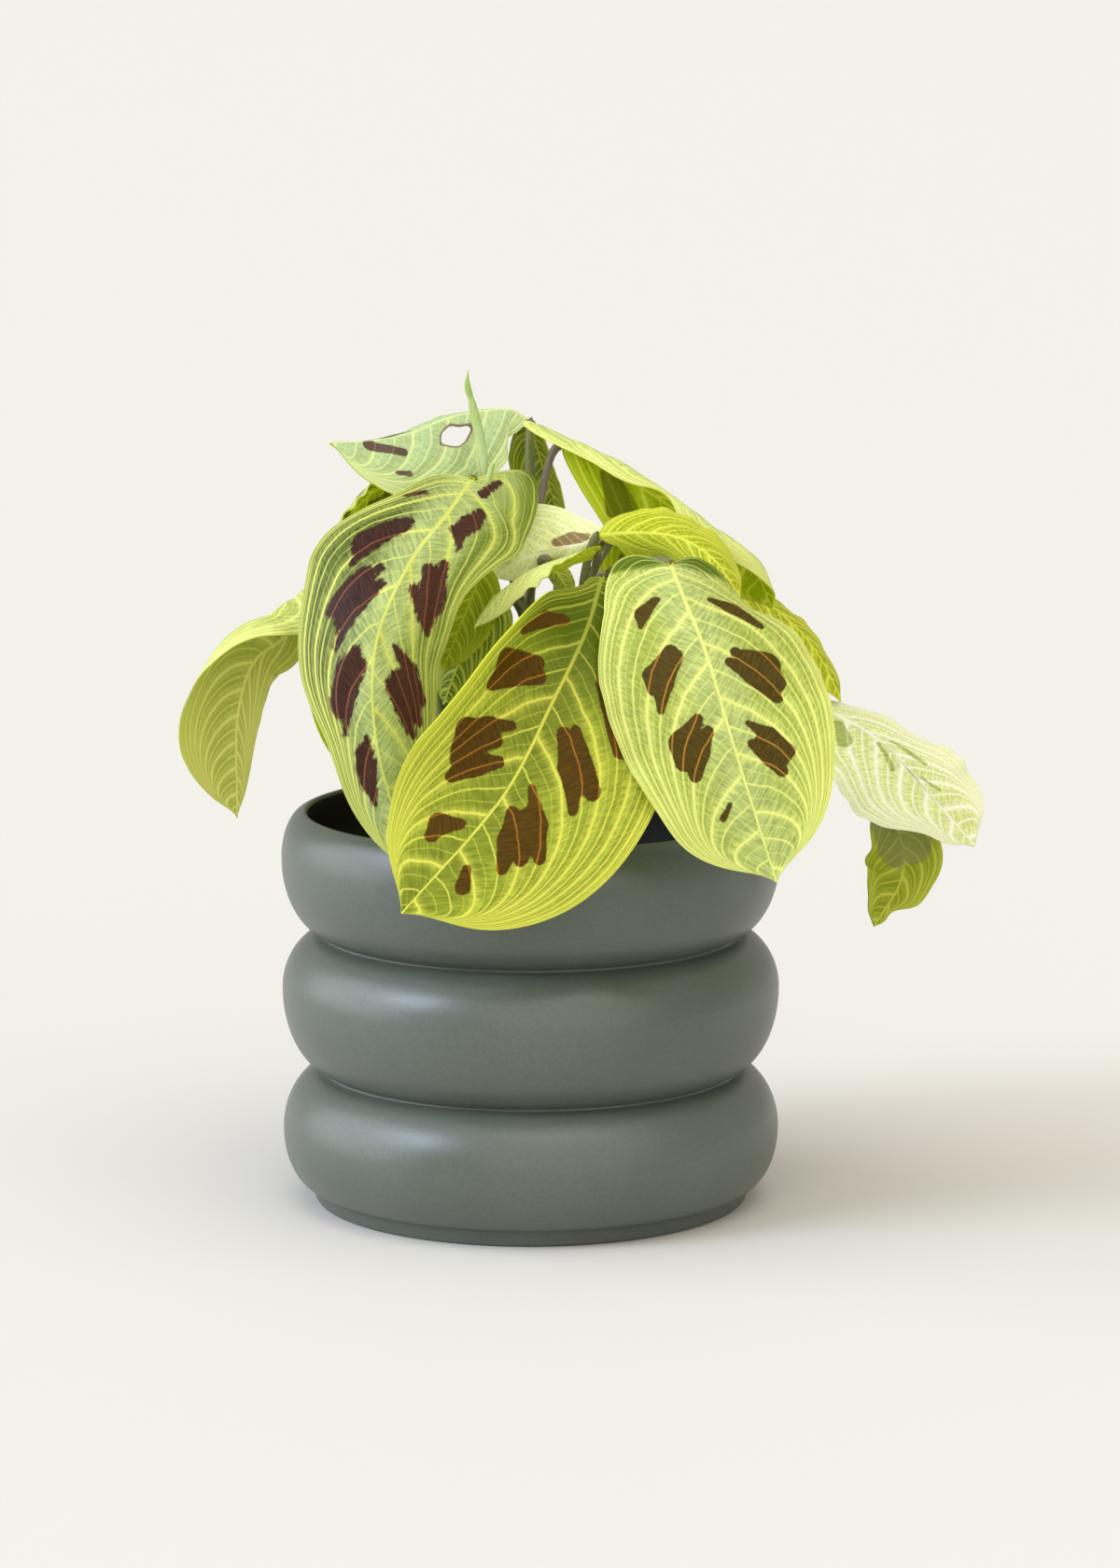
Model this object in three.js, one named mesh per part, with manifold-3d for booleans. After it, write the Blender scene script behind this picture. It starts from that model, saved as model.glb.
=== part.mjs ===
// A potted prayer plant: a leafy clump of a pale-veined maranta in a ceramic pot thrown as three stacked rolls.
// Millimetres, +Z up, origin on the table under the middle of the pot, front of the plant towards -Y.
// The pot is one turned wall, open at the top. The potting mix fills it and has a plain hole for each shoot.
// Each shoot is one upright stem with the leaf stalks that branch from it. Each leaf blade is a thin curved
// solid of its own, thickest along the midrib, which starts at the end of its stalk.
import * as THREE from "three";
import { mergeVertices } from "three/addons/utils/BufferGeometryUtils.js";
import Module from "manifold-3d";

const wasm = await Module();
wasm.setup();

// ---- Driving dimensions ----

const POT = {
  height: 125,
  maxRadius: 79,
  grooveRadius: 64,
  lipRadius: 71.7,
  footRadius: 69,
  footHeight: 5,
  grooves: [42.6, 86.1],
  rolls: [23, 68.3, 110],
  wall: 5,
  floor: 8,
  sides: 32,
};
const SOIL = { top: 105, mound: 4, edge: 67.5, gap: 0.3, sides: 30 };
const STEM = { radius: 2.1, tipRadius: 1.5, sides: 8, depth: 40, holeGap: 0.35 };
const STALK = { radius: 1.25, tipRadius: 1.0, sides: 6, steps: 7, jointGap: 0.3, rise: 0.5, neck: 14 };
const BLADE = { rows: 12, columns: 3, thickness: 0.7, ribHeight: 1.0, ribWidth: 2.4, stem: 0.9 };
const EDGE = { belly: [1.2, 1.2], lobe: [0.07, 0.07], lobeEnd: 0.3, tipShare: 0.3, taper: 0.3 };
// The torn hole in one leaf, as seen from the front: its middle, its depth range and its outline in x and z.
const TEAR = {
  blade: "upper_left",
  middle: [-23.6, 243.8],
  depth: [-30, 3],
  outline: [[-4.3, 0.3], [-2.9, 2], [-1.4, 3.1], [1.2, 2.7], [4.9, 3], [5.2, 1.5], [3.5, -1.5], [1.4, -3.2],
    [-0.9, -3.2], [-4.3, -2.4]],
};
const BUD = {
  shoot: "left",
  from: 197,
  rib: [[-15, -15, 232], [-16, -15.5, 245], [-18, -16, 256], [-19.5, -16, 265]],
  radius: 2.1,
  tipRadius: 0.5,
  sides: 8,
  steps: 8,
};

// ---- Shoots: the foot of each stem on the potting mix, and its top ----

const SHOOTS = {
  left: { foot: [-22, -4], top: [-19, -6, 200] },
  middle: { foot: [-5, 0], top: [0, -4, 200] },
  front: { foot: [14, -12], top: [16, -17, 196] },
  right: { foot: [30, 4], top: [27, 4, 178] },
  back: { foot: [6, 26], top: [9, 24, 200] },
  back_left: { foot: [-26, 18], top: [-29, 19, 186] },
};

// ---- Leaves ----
// shoot, from: the shoot the leaf grows on, and the height on its stem where the stalk leaves.
// rib: the midrib from the blade's base to its tip. face: the way the upper face looks, at the base and the tip.
// half: the widths of the left and right half, along the surface, of a leaf that hangs with its upper face
// towards the viewer. left, right: degrees that this half drops beside the midrib, at the base and at the tip,
// then degrees that it bends further on the way to its margin, at the base and at the tip.
// wave: height of the margin's waves, how many along the blade, and where they start.

const LEAVES = {
  left_front: {
    shoot: "left",
    from: 192,
    rib: [[-18, -22, 232], [-25, -44, 224], [-36, -60, 211], [-46, -72, 188], [-46, -79, 160], [-34, -80, 117]],
    face: [[0.3, -0.55, 0.8], [0, -1, 0.1]],
    half: [32, 32],
    left: [6, 20, 30, 80],
    right: [14, 35, 45, 60],
    wave: [1.0, 3, 0],
    belly: [1.7, 1.7],
    lobe: [0.0, 0.1],
    neck: 5,
  },
  upper_left: {
    shoot: "middle",
    from: 197,
    rib: [[-3, 8, 251], [-14, 5, 250], [-26, 0, 249], [-37, -6, 245], [-49, -12, 243], [-62, -18, 243]],
    face: [[0, -0.3, 0.95], [0, -0.3, 0.95]],
    half: [22, 26],
    left: [24, 24, 5, 5],
    right: [40, 30, 20, 10],
    wave: [1.0, 3, 0.3],
    lobe: [0, 0],
    belly: [1, 1],
  },
  front: {
    shoot: "front",
    from: 170,
    rib: [[22, -50, 205], [17, -70, 191], [7, -86, 172], [-7, -94, 146], [-38, -97, 110]],
    face: [[0.1, -0.8, 0.4], [0, -1, 0.2]],
    half: [34, 42],
    left: [0, 0, -150, 10],
    right: [0, 0, 20, 10],
    wave: [1.0, 3, 0],
    lobe: [0, 0.05],
    belly: [0.88, 0.88],
    neck: 6,
  },
  right_front: {
    shoot: "front",
    from: 184,
    rib: [[43, -50, 209], [47, -68, 200], [53, -80, 186], [61, -90, 160], [74, -94, 119]],
    face: [[0.1, -0.7, 0.7], [0, -1, 0.1]],
    half: [34, 36],
    left: [0, 0, 20, 10],
    right: [12, 0, 45, 0],
    wave: [0.8, 3, 0],
    lobe: [0.09, 0.09],
    neck: 5,
  },
  centre: {
    shoot: "front",
    from: 190,
    rib: [[22, -17, 213], [14, -15, 214], [5, -13, 215], [-4, -12, 212], [-12, -13, 205]],
    face: [[0.1, -0.85, 0.5], [-0.1, -0.9, 0.4]],
    half: [13, 8],
    left: [0, 0, 10, 10],
    right: [20, 10, 100, 60],
    wave: [0.8, 2, 0.2],
    belly: [1, 1],
    lobe: [0, 0],
  },
  upper_right: {
    shoot: "middle",
    from: 199,
    rib: [[10, 0, 240], [21, -2, 234], [30, -4, 229], [42, -6, 221], [57, -8, 210], [69, -9, 202], [75, -8, 189]],
    face: [[-0.1, 1, 0.3], [0.5, 0.7, 0.4]],
    half: [20, 24],
    left: [0, 0, 200, 150],
    right: [0, 0, 30, 30],
    wave: [0.8, 3, 0],
    lobe: [0.12, 0],
    belly: [1, 1],
  },
  right_mid: {
    shoot: "front",
    from: 192,
    rib: [[27, -20, 213], [36, -26, 216], [46, -31, 215], [54, -36, 210], [59, -40, 202]],
    face: [[0.2, -0.8, 0.6], [0.6, -0.5, 0.6]],
    half: [8, 12],
    left: [40, 40, 60, 60],
    right: [0, 0, 20, 30],
    wave: [0.8, 3, 0],
    lobe: [0, 0],
    belly: [0.9, 0.9],
  },
  left_far: {
    shoot: "left",
    from: 160,
    rib: [[-68, -8, 189], [-78, -14, 181], [-86, -18, 175], [-91, -20, 160], [-92, -16, 125]],
    face: [[-0.2, 1, 0.2], [-0.3, 1, 0.1]],
    half: [9, 29],
    left: [0, 0, 20, 20],
    right: [0, 0, 160, 0],
    wave: [0.8, 3, 0],
    lobe: [0, 0.15],
    belly: [2, 2],
  },
  right_far: {
    shoot: "right",
    from: 150,
    rib: [[86, 2, 160], [104, -8, 152], [113, -14, 146], [123, -19, 135], [139, -22, 117]],
    face: [[0.25, -0.25, 0.9], [0.4, -0.9, 0.5]],
    half: [23, 21],
    left: [0, 0, 20, 90],
    right: [0, 0, 10, 10],
    wave: [1.2, 3, 0],
    lobe: [0, 0],
    belly: [1.1, 0.6],
  },
  right_low: {
    shoot: "right",
    from: 130,
    rib: [[113, 12, 123], [118, 8, 114], [118, 4, 102], [109, 0, 87]],
    face: [[0.2, 0.9, 0.3], [0, 1, 0.1]],
    half: [13, 15],
    left: [0, 0, 20, 20],
    right: [0, 0, 60, 60],
    wave: [0.8, 2, 0],
    belly: [1, 1],
    rows: 10,
  },
  right_back: {
    shoot: "right",
    from: 172,
    rib: [[50, 9, 196], [67, 8, 194], [84, 6, 182], [93, 4, 170], [98, 2, 159]],
    face: [[0.3, -0.2, 0.9], [0.6, -0.2, 0.7]],
    half: [14, 14],
    left: [10, 10, 30, 30],
    right: [10, 10, 30, 30],
    wave: [0.8, 3, 0],
    rows: 10,
  },
  inner_left: {
    shoot: "middle",
    from: 176,
    rib: [[-15, -24, 206], [-18, -27, 197], [-22, -30, 187], [-27, -32, 174]],
    face: [[-0.3, 0.9, 0.3], [-0.3, 0.9, 0.1]],
    half: [10, 10],
    left: [10, 10, 40, 40],
    right: [10, 10, 40, 40],
    wave: [0.6, 3, 0],
    neck: 10,
    rows: 8,
    lobe: [0, 0],
  },
  inner_front: {
    shoot: "front",
    from: 176,
    rib: [[18, -30, 210], [5, -33, 206], [-7, -36, 198], [-15, -38, 190], [-20, -39, 180]],
    face: [[-0.3, -0.6, 0.6], [-0.5, -0.8, 0.2]],
    half: [4, 6],
    left: [10, 10, 40, 40],
    right: [40, 40, 40, 40],
    wave: [0.6, 3, 0],
    rows: 8,
  },
  inner_dark: {
    shoot: "middle",
    from: 172,
    rib: [[-8, -16, 193], [-14, -19, 187], [-21, -22, 177], [-27, -24, 162]],
    face: [[-0.2, -0.8, 0.5], [-0.3, -0.9, 0.2]],
    half: [10, 10],
    left: [10, 10, 30, 30],
    right: [10, 10, 30, 30],
    wave: [0.6, 3, 0.1],
    rows: 8,
    neck: 6,
    lobe: [0, 0],
  },
  inner_small: {
    shoot: "middle",
    from: 188,
    rib: [[6, -19, 206], [9, -20, 202], [13, -19, 195]],
    face: [[-0.2, -0.8, 0.5], [-0.3, -0.9, 0.2]],
    half: [4, 4],
    left: [10, 10, 60, 30],
    right: [10, 10, 60, 30],
    wave: [0.3, 3, 0.1],
    neck: 4,
    rows: 8,
  },
  behind_left: {
    shoot: "back_left",
    from: 182,
    rib: [[-36, 14, 230], [-50, 12, 225], [-60, 9, 212], [-62, 6, 198]],
    face: [[-0.3, 0.5, 0.6], [-0.8, 0.5, 0.2]],
    half: [16, 12],
    left: [10, 10, 40, 40],
    right: [10, 10, 40, 40],
    wave: [0.6, 3, 0],
    rows: 8,
  },
  behind_middle: {
    shoot: "middle",
    from: 190,
    rib: [[1, 12, 244], [5, 18, 240], [10, 21, 226], [13, 20, 212]],
    face: [[0.3, 0.7, 0.5], [0.4, 0.9, 0.2]],
    half: [11, 11],
    left: [10, 10, 40, 40],
    right: [10, 10, 40, 40],
    wave: [0.6, 3, 0],
    rows: 8,
  },
  back_high: {
    shoot: "back",
    from: 196,
    rib: [[22, 28, 210], [36, 40, 205], [50, 58, 190], [62, 74, 164]],
    face: [[0.1, 0.4, 0.9], [0.5, 0.8, 0.1]],
    half: [22, 22],
    left: [5, 5, 30, 20],
    right: [5, 5, 30, 20],
    wave: [1.0, 3, 0.4],
    rows: 10,
  },
  back_right: {
    shoot: "right",
    from: 160,
    rib: [[42, 12, 178], [61, 28, 172], [76, 46, 150], [82, 57, 112]],
    face: [[0.3, 0.2, 0.9], [0.7, 0.7, 0.1]],
    half: [24, 24],
    left: [5, 5, 30, 20],
    right: [5, 5, 30, 20],
    wave: [1.0, 3, 0.1],
    rows: 10,
  },
  back_middle: {
    shoot: "back",
    from: 150,
    rib: [[-2, 36, 166], [-9, 60, 167], [-14, 84, 148], [-18, 98, 100]],
    face: [[0, 0.2, 0.9], [0, 1, 0.1]],
    half: [24, 24],
    left: [5, 5, 30, 20],
    right: [5, 5, 30, 20],
    wave: [1.0, 3, 0.7],
    rows: 10,
  },
  back_inner: {
    shoot: "back",
    from: 178,
    rib: [[23, 34, 184], [29, 50, 180], [35, 68, 162], [40, 84, 122]],
    face: [[0.1, 0.2, 0.9], [0.3, 1, 0.1]],
    half: [20, 20],
    left: [5, 5, 30, 20],
    right: [5, 5, 30, 20],
    wave: [1.0, 3, 0.2],
    rows: 10,
  },
  back_left: {
    shoot: "back_left",
    from: 170,
    rib: [[-36, 28, 192], [-47, 45, 190], [-56, 63, 164], [-58, 76, 122]],
    face: [[-0.1, 0.2, 0.9], [-0.3, 1, 0.1]],
    half: [22, 21],
    left: [5, 5, 30, 20],
    right: [5, 5, 30, 20],
    wave: [1.0, 3, 0.5],
    rows: 10,
  },
  back_low: {
    shoot: "back_left",
    from: 148,
    rib: [[-38, 20, 172], [-47, 33, 167], [-53, 46, 152], [-55, 52, 137]],
    face: [[-0.3, 0.2, 0.9], [-0.9, 0.5, 0.1]],
    half: [16, 16],
    left: [5, 5, 30, 20],
    right: [5, 5, 30, 20],
    wave: [1.0, 3, 0.3],
    rows: 8,
  },
};

// ---- Helpers ----

const vec = (p) => new THREE.Vector3(...p);
const mix = THREE.MathUtils.lerp;
const material = (color, roughness) => new THREE.MeshStandardMaterial({ color, roughness, metalness: 0 });

/** A closed three.js geometry as a solid, with its doubled vertices merged. */
function solidOf(geometry) {
  const bare = geometry.clone();
  bare.deleteAttribute("normal");
  bare.deleteAttribute("uv");
  const merged = mergeVertices(bare, 1e-4);
  return new wasm.Manifold(
    new wasm.Mesh({
      numProp: 3,
      vertProperties: new Float32Array(merged.attributes.position.array),
      triVerts: new Uint32Array(merged.index.array),
    }),
  );
}

/** A solid as a three.js geometry. */
function geometryOf(solid) {
  const mesh = solid.getMesh();
  const geometry = new THREE.BufferGeometry();
  geometry.setAttribute("position", new THREE.BufferAttribute(new Float32Array(mesh.vertProperties), 3));
  geometry.setIndex(new THREE.BufferAttribute(new Uint32Array(mesh.triVerts), 1));
  geometry.computeVertexNormals();
  return geometry;
}

/** A round rod through the points of a list, with a radius at each point and flat ends. */
function rod(points, radii, sides) {
  const tangents = points.map((_, i) => {
    const before = points[Math.max(i - 1, 0)];
    const after = points[Math.min(i + 1, points.length - 1)];
    return after.clone().sub(before).normalize();
  });
  const across = new THREE.Vector3(1, 0, 0);
  const positions = [];
  points.forEach((centre, i) => {
    across.addScaledVector(tangents[i], -across.dot(tangents[i])).normalize();
    const other = tangents[i].clone().cross(across);
    for (let j = 0; j < sides; j++) {
      const angle = (j / sides) * Math.PI * 2;
      const p = centre.clone();
      p.addScaledVector(across, radii[i] * Math.cos(angle));
      p.addScaledVector(other, radii[i] * Math.sin(angle));
      positions.push(p.x, p.y, p.z);
    }
  });
  const index = [];
  const at = (i, j) => i * sides + (j % sides);
  const last = points.length - 1;
  for (let i = 0; i < last; i++) {
    for (let j = 0; j < sides; j++) {
      index.push(at(i, j), at(i, j + 1), at(i + 1, j));
      index.push(at(i, j + 1), at(i + 1, j + 1), at(i + 1, j));
    }
  }
  for (let j = 1; j < sides - 1; j++) {
    index.push(at(0, 0), at(0, j + 1), at(0, j));
    index.push(at(last, 0), at(last, j), at(last, j + 1));
  }
  const geometry = new THREE.BufferGeometry();
  geometry.setAttribute("position", new THREE.Float32BufferAttribute(positions, 3));
  geometry.setIndex(index);
  geometry.computeVertexNormals();
  return geometry;
}

// ---- Pot ----

/** Half of a roll's outline, as a quarter ellipse between a groove and the roll's widest height. */
function quarter(fromRadius, fromZ, toRadius, toZ, steps) {
  const points = [];
  for (let i = 0; i < steps; i++) {
    const angle = ((i / steps) * Math.PI) / 2;
    points.push([mix(fromRadius, toRadius, Math.sin(angle)), mix(toZ, fromZ, Math.cos(angle))]);
  }
  return points;
}

function makePot() {
  const { grooves, rolls, maxRadius, grooveRadius, lipRadius, footRadius, footHeight, height, wall, floor } = POT;
  const outside = [
    [0, 0],
    [footRadius - 1, 0],
    [footRadius, 1],
    ...quarter(footRadius, footHeight, maxRadius, rolls[0], 5),
    ...quarter(grooveRadius, grooves[0], maxRadius, rolls[0], 6).reverse(),
    ...quarter(grooveRadius, grooves[0], maxRadius, rolls[1], 6),
    ...quarter(grooveRadius, grooves[1], maxRadius, rolls[1], 6).reverse(),
    ...quarter(grooveRadius, grooves[1], maxRadius, rolls[2], 6),
    ...quarter(lipRadius, height, maxRadius, rolls[2], 6).reverse(),
  ];
  const inside = [
    [lipRadius - 1, height - 0.8],
    [lipRadius + 0.5, height - 6],
    [maxRadius - wall, rolls[2]],
    [grooveRadius - wall, grooves[1]],
    [grooveRadius - wall, floor + 4],
    [grooveRadius - wall - 4, floor],
    [0, floor],
  ];
  const profile = [...outside, ...inside].map(([r, z]) => new THREE.Vector2(r, z));
  return new THREE.LatheGeometry(profile, POT.sides).rotateX(Math.PI / 2);
}

// ---- Blades ----

/** The leaf's margin in the flat, as shares of half the width and of the length, from the notch to the tip. */
function marginAt(t, lobe, belly) {
  const angle = Math.PI * t;
  const dip = lobe * Math.sin(Math.PI * Math.min(t / EDGE.lobeEnd, 1));
  const along = mix((1 - Math.cos(angle)) / 2, t, EDGE.tipShare * t) ** belly - dip;
  const across = Math.sin(angle) * (1 - EDGE.taper * t ** 6);
  return { along, across };
}

/** Bends the flat leaf: a function from flat (across, along) in mm to a point in the part's frame. */
function bendOf(leaf) {
  const rib = new THREE.CatmullRomCurve3(leaf.rib.map(vec), false, "centripetal");
  const length = rib.getLength();
  const faces = leaf.face.map((f) => vec(f).normalize());
  const halves = [leaf.left, leaf.right];
  const rad = THREE.MathUtils.degToRad;
  const at = (across, along) => {
    const side = across < 0 ? 0 : 1;
    const share = THREE.MathUtils.clamp(along / length, 0, 1);
    const tangent = rib.getTangentAt(share);
    const centre = rib.getPointAt(share).addScaledVector(tangent, along - share * length);
    const normal = faces[0].clone().lerp(faces[1], share);
    normal.addScaledVector(tangent, -normal.dot(tangent)).normalize();
    const sideways = normal.clone().cross(tangent).multiplyScalar(side ? 1 : -1);
    const [foldBase, foldTip, curlBase, curlTip] = halves[side];
    const distance = Math.abs(across);
    const fold = rad(mix(foldBase, foldTip, share));
    const bend = rad(mix(curlBase, curlTip, share)) / leaf.half[side];
    const turn = fold + bend * distance;
    const flat = Math.abs(bend) < 1e-4;
    const out = flat ? distance * Math.cos(fold) : (Math.sin(turn) - Math.sin(fold)) / bend;
    const drop = flat ? -distance * Math.sin(fold) : (Math.cos(turn) - Math.cos(fold)) / bend;
    const [height, count, start] = leaf.wave;
    const reach = (distance / leaf.half[side]) ** 2;
    const ripple = height * reach * Math.sin(2 * Math.PI * (count * share + start + side * 0.37));
    return centre.addScaledVector(sideways, out).addScaledVector(normal, drop + ripple);
  };
  return { length, at };
}

/** A leaf blade as a thin closed solid: two faces with the same triangles, and the edge between them. */
function makeBlade(leaf) {
  const bend = bendOf(leaf);
  const { rows, columns, thickness, ribHeight, ribWidth, stem } = { ...BLADE, ...leaf };
  const faces = [[], []];
  const step = 0.05;
  const { lobe, belly } = { ...EDGE, ...leaf };
  for (let i = 0; i <= rows; i++) {
    const t = i / rows;
    for (let j = -columns; j <= columns; j++) {
      const side = j < 0 ? 0 : 1;
      const { along, across } = marginAt(t, lobe[side], belly[side]);
      const start = Math.max(along, 0.012 * i);
      const half = Math.max(across * leaf.half[side], i === 0 ? stem : 0.3);
      const v = j / columns;
      const x = v * half;
      const y = mix(start, along, Math.abs(v)) * bend.length;
      const p = bend.at(x, y);
      const dx = bend.at(x + step, y).sub(bend.at(x - step, y));
      const dy = bend.at(x, y + step).sub(bend.at(x, y - step));
      const normal = dx.cross(dy).normalize();
      const rib = ribHeight * (1 - t * 0.8) * Math.exp(-((x / ribWidth) ** 2));
      faces[0].push(p.clone().addScaledVector(normal, thickness / 2));
      faces[1].push(p.clone().addScaledVector(normal, -thickness / 2 - rib));
    }
  }
  const across = 2 * columns + 1;
  const count = faces[0].length;
  const at = (i, j) => i * across + j;
  const index = [];
  for (let i = 0; i < rows; i++) {
    for (let j = 0; j < across - 1; j++) {
      const [a, b, c, d] = [at(i, j), at(i, j + 1), at(i + 1, j + 1), at(i + 1, j)];
      const halves = j < columns ? [[a, b, c], [a, c, d]] : [[a, b, d], [b, c, d]];
      for (const [p, q, r] of halves) {
        index.push(p, q, r);
        index.push(p + count, r + count, q + count);
      }
    }
  }
  const border = [];
  for (let j = 0; j < across - 1; j++) border.push(at(0, j));
  for (let i = 0; i < rows; i++) border.push(at(i, across - 1));
  for (let j = across - 1; j > 0; j--) border.push(at(rows, j));
  for (let i = rows; i > 0; i--) border.push(at(i, 0));
  border.forEach((a, k) => {
    const b = border[(k + 1) % border.length];
    index.push(b, a, a + count);
    index.push(b, a + count, b + count);
  });
  const geometry = new THREE.BufferGeometry().setFromPoints([...faces[0], ...faces[1]]);
  geometry.setIndex(index);
  geometry.computeVertexNormals();
  return geometry;
}

/** The torn leaf: its blade with an irregular hole cut through the half that faces the front. */
function makeTornBlade(leaf) {
  const { middle, depth, outline } = TEAR;
  const shape = new THREE.Shape(outline.map(([x, z]) => new THREE.Vector2(x + middle[0], z + middle[1])));
  const cutter = new THREE.ExtrudeGeometry(shape, { depth: depth[1] - depth[0], bevelEnabled: false });
  cutter.rotateX(Math.PI / 2).translate(0, depth[1], 0);
  return geometryOf(solidOf(makeBlade(leaf)).subtract(solidOf(cutter)));
}

// ---- Shoots ----

const SHOOT_BASE = SOIL.top - STEM.depth;

/** The line a shoot's stem follows, from its foot in the mix to its top: a function from height to a point. */
function stemLine({ foot, top }) {
  const low = new THREE.Vector3(foot[0], foot[1], SHOOT_BASE);
  const high = vec(top);
  return (z) => low.clone().lerp(high, (z - low.z) / (high.z - low.z));
}

/** A leaf's stalk: it leaves the stem upwards and bends over to meet the blade along the midrib. */
function makeStalk(line, leaf) {
  const start = line(leaf.from);
  const [base, next] = leaf.rib.map(vec);
  const into = next.clone().sub(base).normalize();
  const end = base.clone().addScaledVector(into, -STALK.jointGap);
  const span = start.distanceTo(end);
  const up = line(leaf.from + 1).sub(start).normalize();
  const leave = start.clone().addScaledVector(up, span * STALK.rise);
  const arrive = end.clone().addScaledVector(into, -Math.min(span * 0.4, leaf.neck ?? STALK.neck));
  const points = new THREE.CubicBezierCurve3(start, leave, arrive, end).getPoints(STALK.steps);
  const radii = points.map((_, i) => mix(STALK.radius, STALK.tipRadius, i / STALK.steps));
  return solidOf(rod(points, radii, STALK.sides));
}

/** A shoot: its stem and the stalks of its leaves, in one piece. */
function makeShoot(name, extra) {
  const line = stemLine(SHOOTS[name]);
  const top = SHOOTS[name].top[2];
  const stem = [line(SHOOT_BASE), line(SOIL.top), line(top)];
  let solid = solidOf(rod(stem, [STEM.radius, STEM.radius, STEM.tipRadius], STEM.sides));
  for (const leaf of [...Object.values(LEAVES), ...extra]) {
    if (leaf.shoot === name) solid = solid.add(makeStalk(line, leaf));
  }
  return geometryOf(solid);
}

// ---- Bud ----

/** A leaf still rolled up: a slim spear with the lip of its rolled margin down one side. */
function makeBud() {
  const curve = new THREE.CatmullRomCurve3(BUD.rib.map(vec));
  const points = curve.getPoints(BUD.steps);
  const radii = points.map((_, i) => {
    const t = i / BUD.steps;
    return mix(BUD.radius, BUD.tipRadius, t ** 0.8) * mix(0.6, 1, Math.min(t / 0.12, 1));
  });
  return geometryOf(solidOf(rod(points, radii, BUD.sides)));
}

// ---- Potting mix ----

/** The mix fills the pot up to a low mound, with a plain hole for each stem. */
function makeSoil() {
  const { top, mound, gap, edge, sides } = SOIL;
  const inner = POT.grooveRadius - POT.wall - gap;
  const bottom = POT.floor + gap;
  const profile = [
    [0, bottom],
    [inner - 4.2, bottom],
    [inner, bottom + 4.2],
    [inner, POT.grooves[1]],
    [edge, top - mound],
    [edge * 0.8, top - mound * 0.5],
    [edge * 0.45, top - mound * 0.2],
    [0, top],
  ];
  const points = profile.map(([r, z]) => new THREE.Vector2(r, z));
  let solid = solidOf(new THREE.LatheGeometry(points, sides).rotateX(Math.PI / 2));
  for (const shoot of Object.values(SHOOTS)) {
    const line = stemLine(shoot);
    const hole = [line(SHOOT_BASE - STEM.holeGap), line(SOIL.top + 5)];
    const radius = STEM.radius + STEM.holeGap;
    solid = solid.subtract(solidOf(rod(hole, [radius, radius], STEM.sides)));
  }
  return geometryOf(solid);
}

// ---- Assembly ----

const plant = new THREE.Group();

function add(name, geometry, look) {
  const mesh = new THREE.Mesh(geometry, look);
  mesh.name = name;
  plant.add(mesh);
  return mesh;
}

const LOOKS = {
  pot: material("#6f776d", 0.55),
  soil: material("#241d15", 0.95),
  stem: material("#59603c", 0.5),
  upper: material("#b3c468", 0.45),
  bud: material("#a9c07a", 0.45),
};

add("pot", makePot(), LOOKS.pot);
add("soil", makeSoil(), LOOKS.soil);
for (const name of Object.keys(SHOOTS)) add(`shoot_${name}`, makeShoot(name, [BUD]), LOOKS.stem);
for (const [name, leaf] of Object.entries(LEAVES)) {
  const blade = name === TEAR.blade ? makeTornBlade(leaf) : makeBlade(leaf);
  add(`blade_${name}`, blade, LOOKS.upper);
}
add("bud", makeBud(), LOOKS.bud);

export default plant;
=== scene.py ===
"""The looks of a potted prayer plant: a maranta clump in a glazed pot of three stacked rolls.

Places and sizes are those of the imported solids. Each solid is replaced here by a finer piece of the same
form: the pot by a smooth turned one, the mix by a crumbly one, the stems and stalks by round tapered ones,
and each leaf blade by a thin curved sheet with its veins, blotches and waved margin. Sizes are in
millimetres, as in the part's source, and become metres where a mesh is made.
"""

import logging
import math
from collections.abc import Mapping, Sequence
from dataclasses import dataclass
from enum import Enum
from functools import partial

import bpy
import numpy as np
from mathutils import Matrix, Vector


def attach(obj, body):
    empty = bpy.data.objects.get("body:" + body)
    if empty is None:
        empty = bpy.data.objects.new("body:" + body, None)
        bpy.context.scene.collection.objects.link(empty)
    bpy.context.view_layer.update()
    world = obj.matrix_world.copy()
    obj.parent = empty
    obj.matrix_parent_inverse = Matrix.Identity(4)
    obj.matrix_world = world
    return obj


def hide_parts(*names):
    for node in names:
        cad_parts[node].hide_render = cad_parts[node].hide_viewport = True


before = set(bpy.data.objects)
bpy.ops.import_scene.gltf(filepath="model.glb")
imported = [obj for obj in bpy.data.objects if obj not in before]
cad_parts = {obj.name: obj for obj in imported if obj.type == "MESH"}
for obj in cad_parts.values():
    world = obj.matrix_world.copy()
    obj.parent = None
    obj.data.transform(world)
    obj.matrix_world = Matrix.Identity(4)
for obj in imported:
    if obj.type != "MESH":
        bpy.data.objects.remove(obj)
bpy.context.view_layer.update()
log = logging.getLogger("prayer_plant")

MM = 0.001
FAR = 9.0  # mm: no finish looks further than this
SMOOTH = "SMOOTHSTEP"
SOIL_TOP = 105.0  # mm: the potting mix at its highest

Point = tuple[float, float, float]
Material = bpy.types.Material
Node = bpy.types.Node
Object = bpy.types.Object
Socket = bpy.types.NodeSocket
Tree = bpy.types.NodeTree
SOCKETS = {float: "NodeSocketFloat", int: "NodeSocketInt", type(None): "NodeSocketMaterial"}


# ---- Small helpers ----


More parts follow.
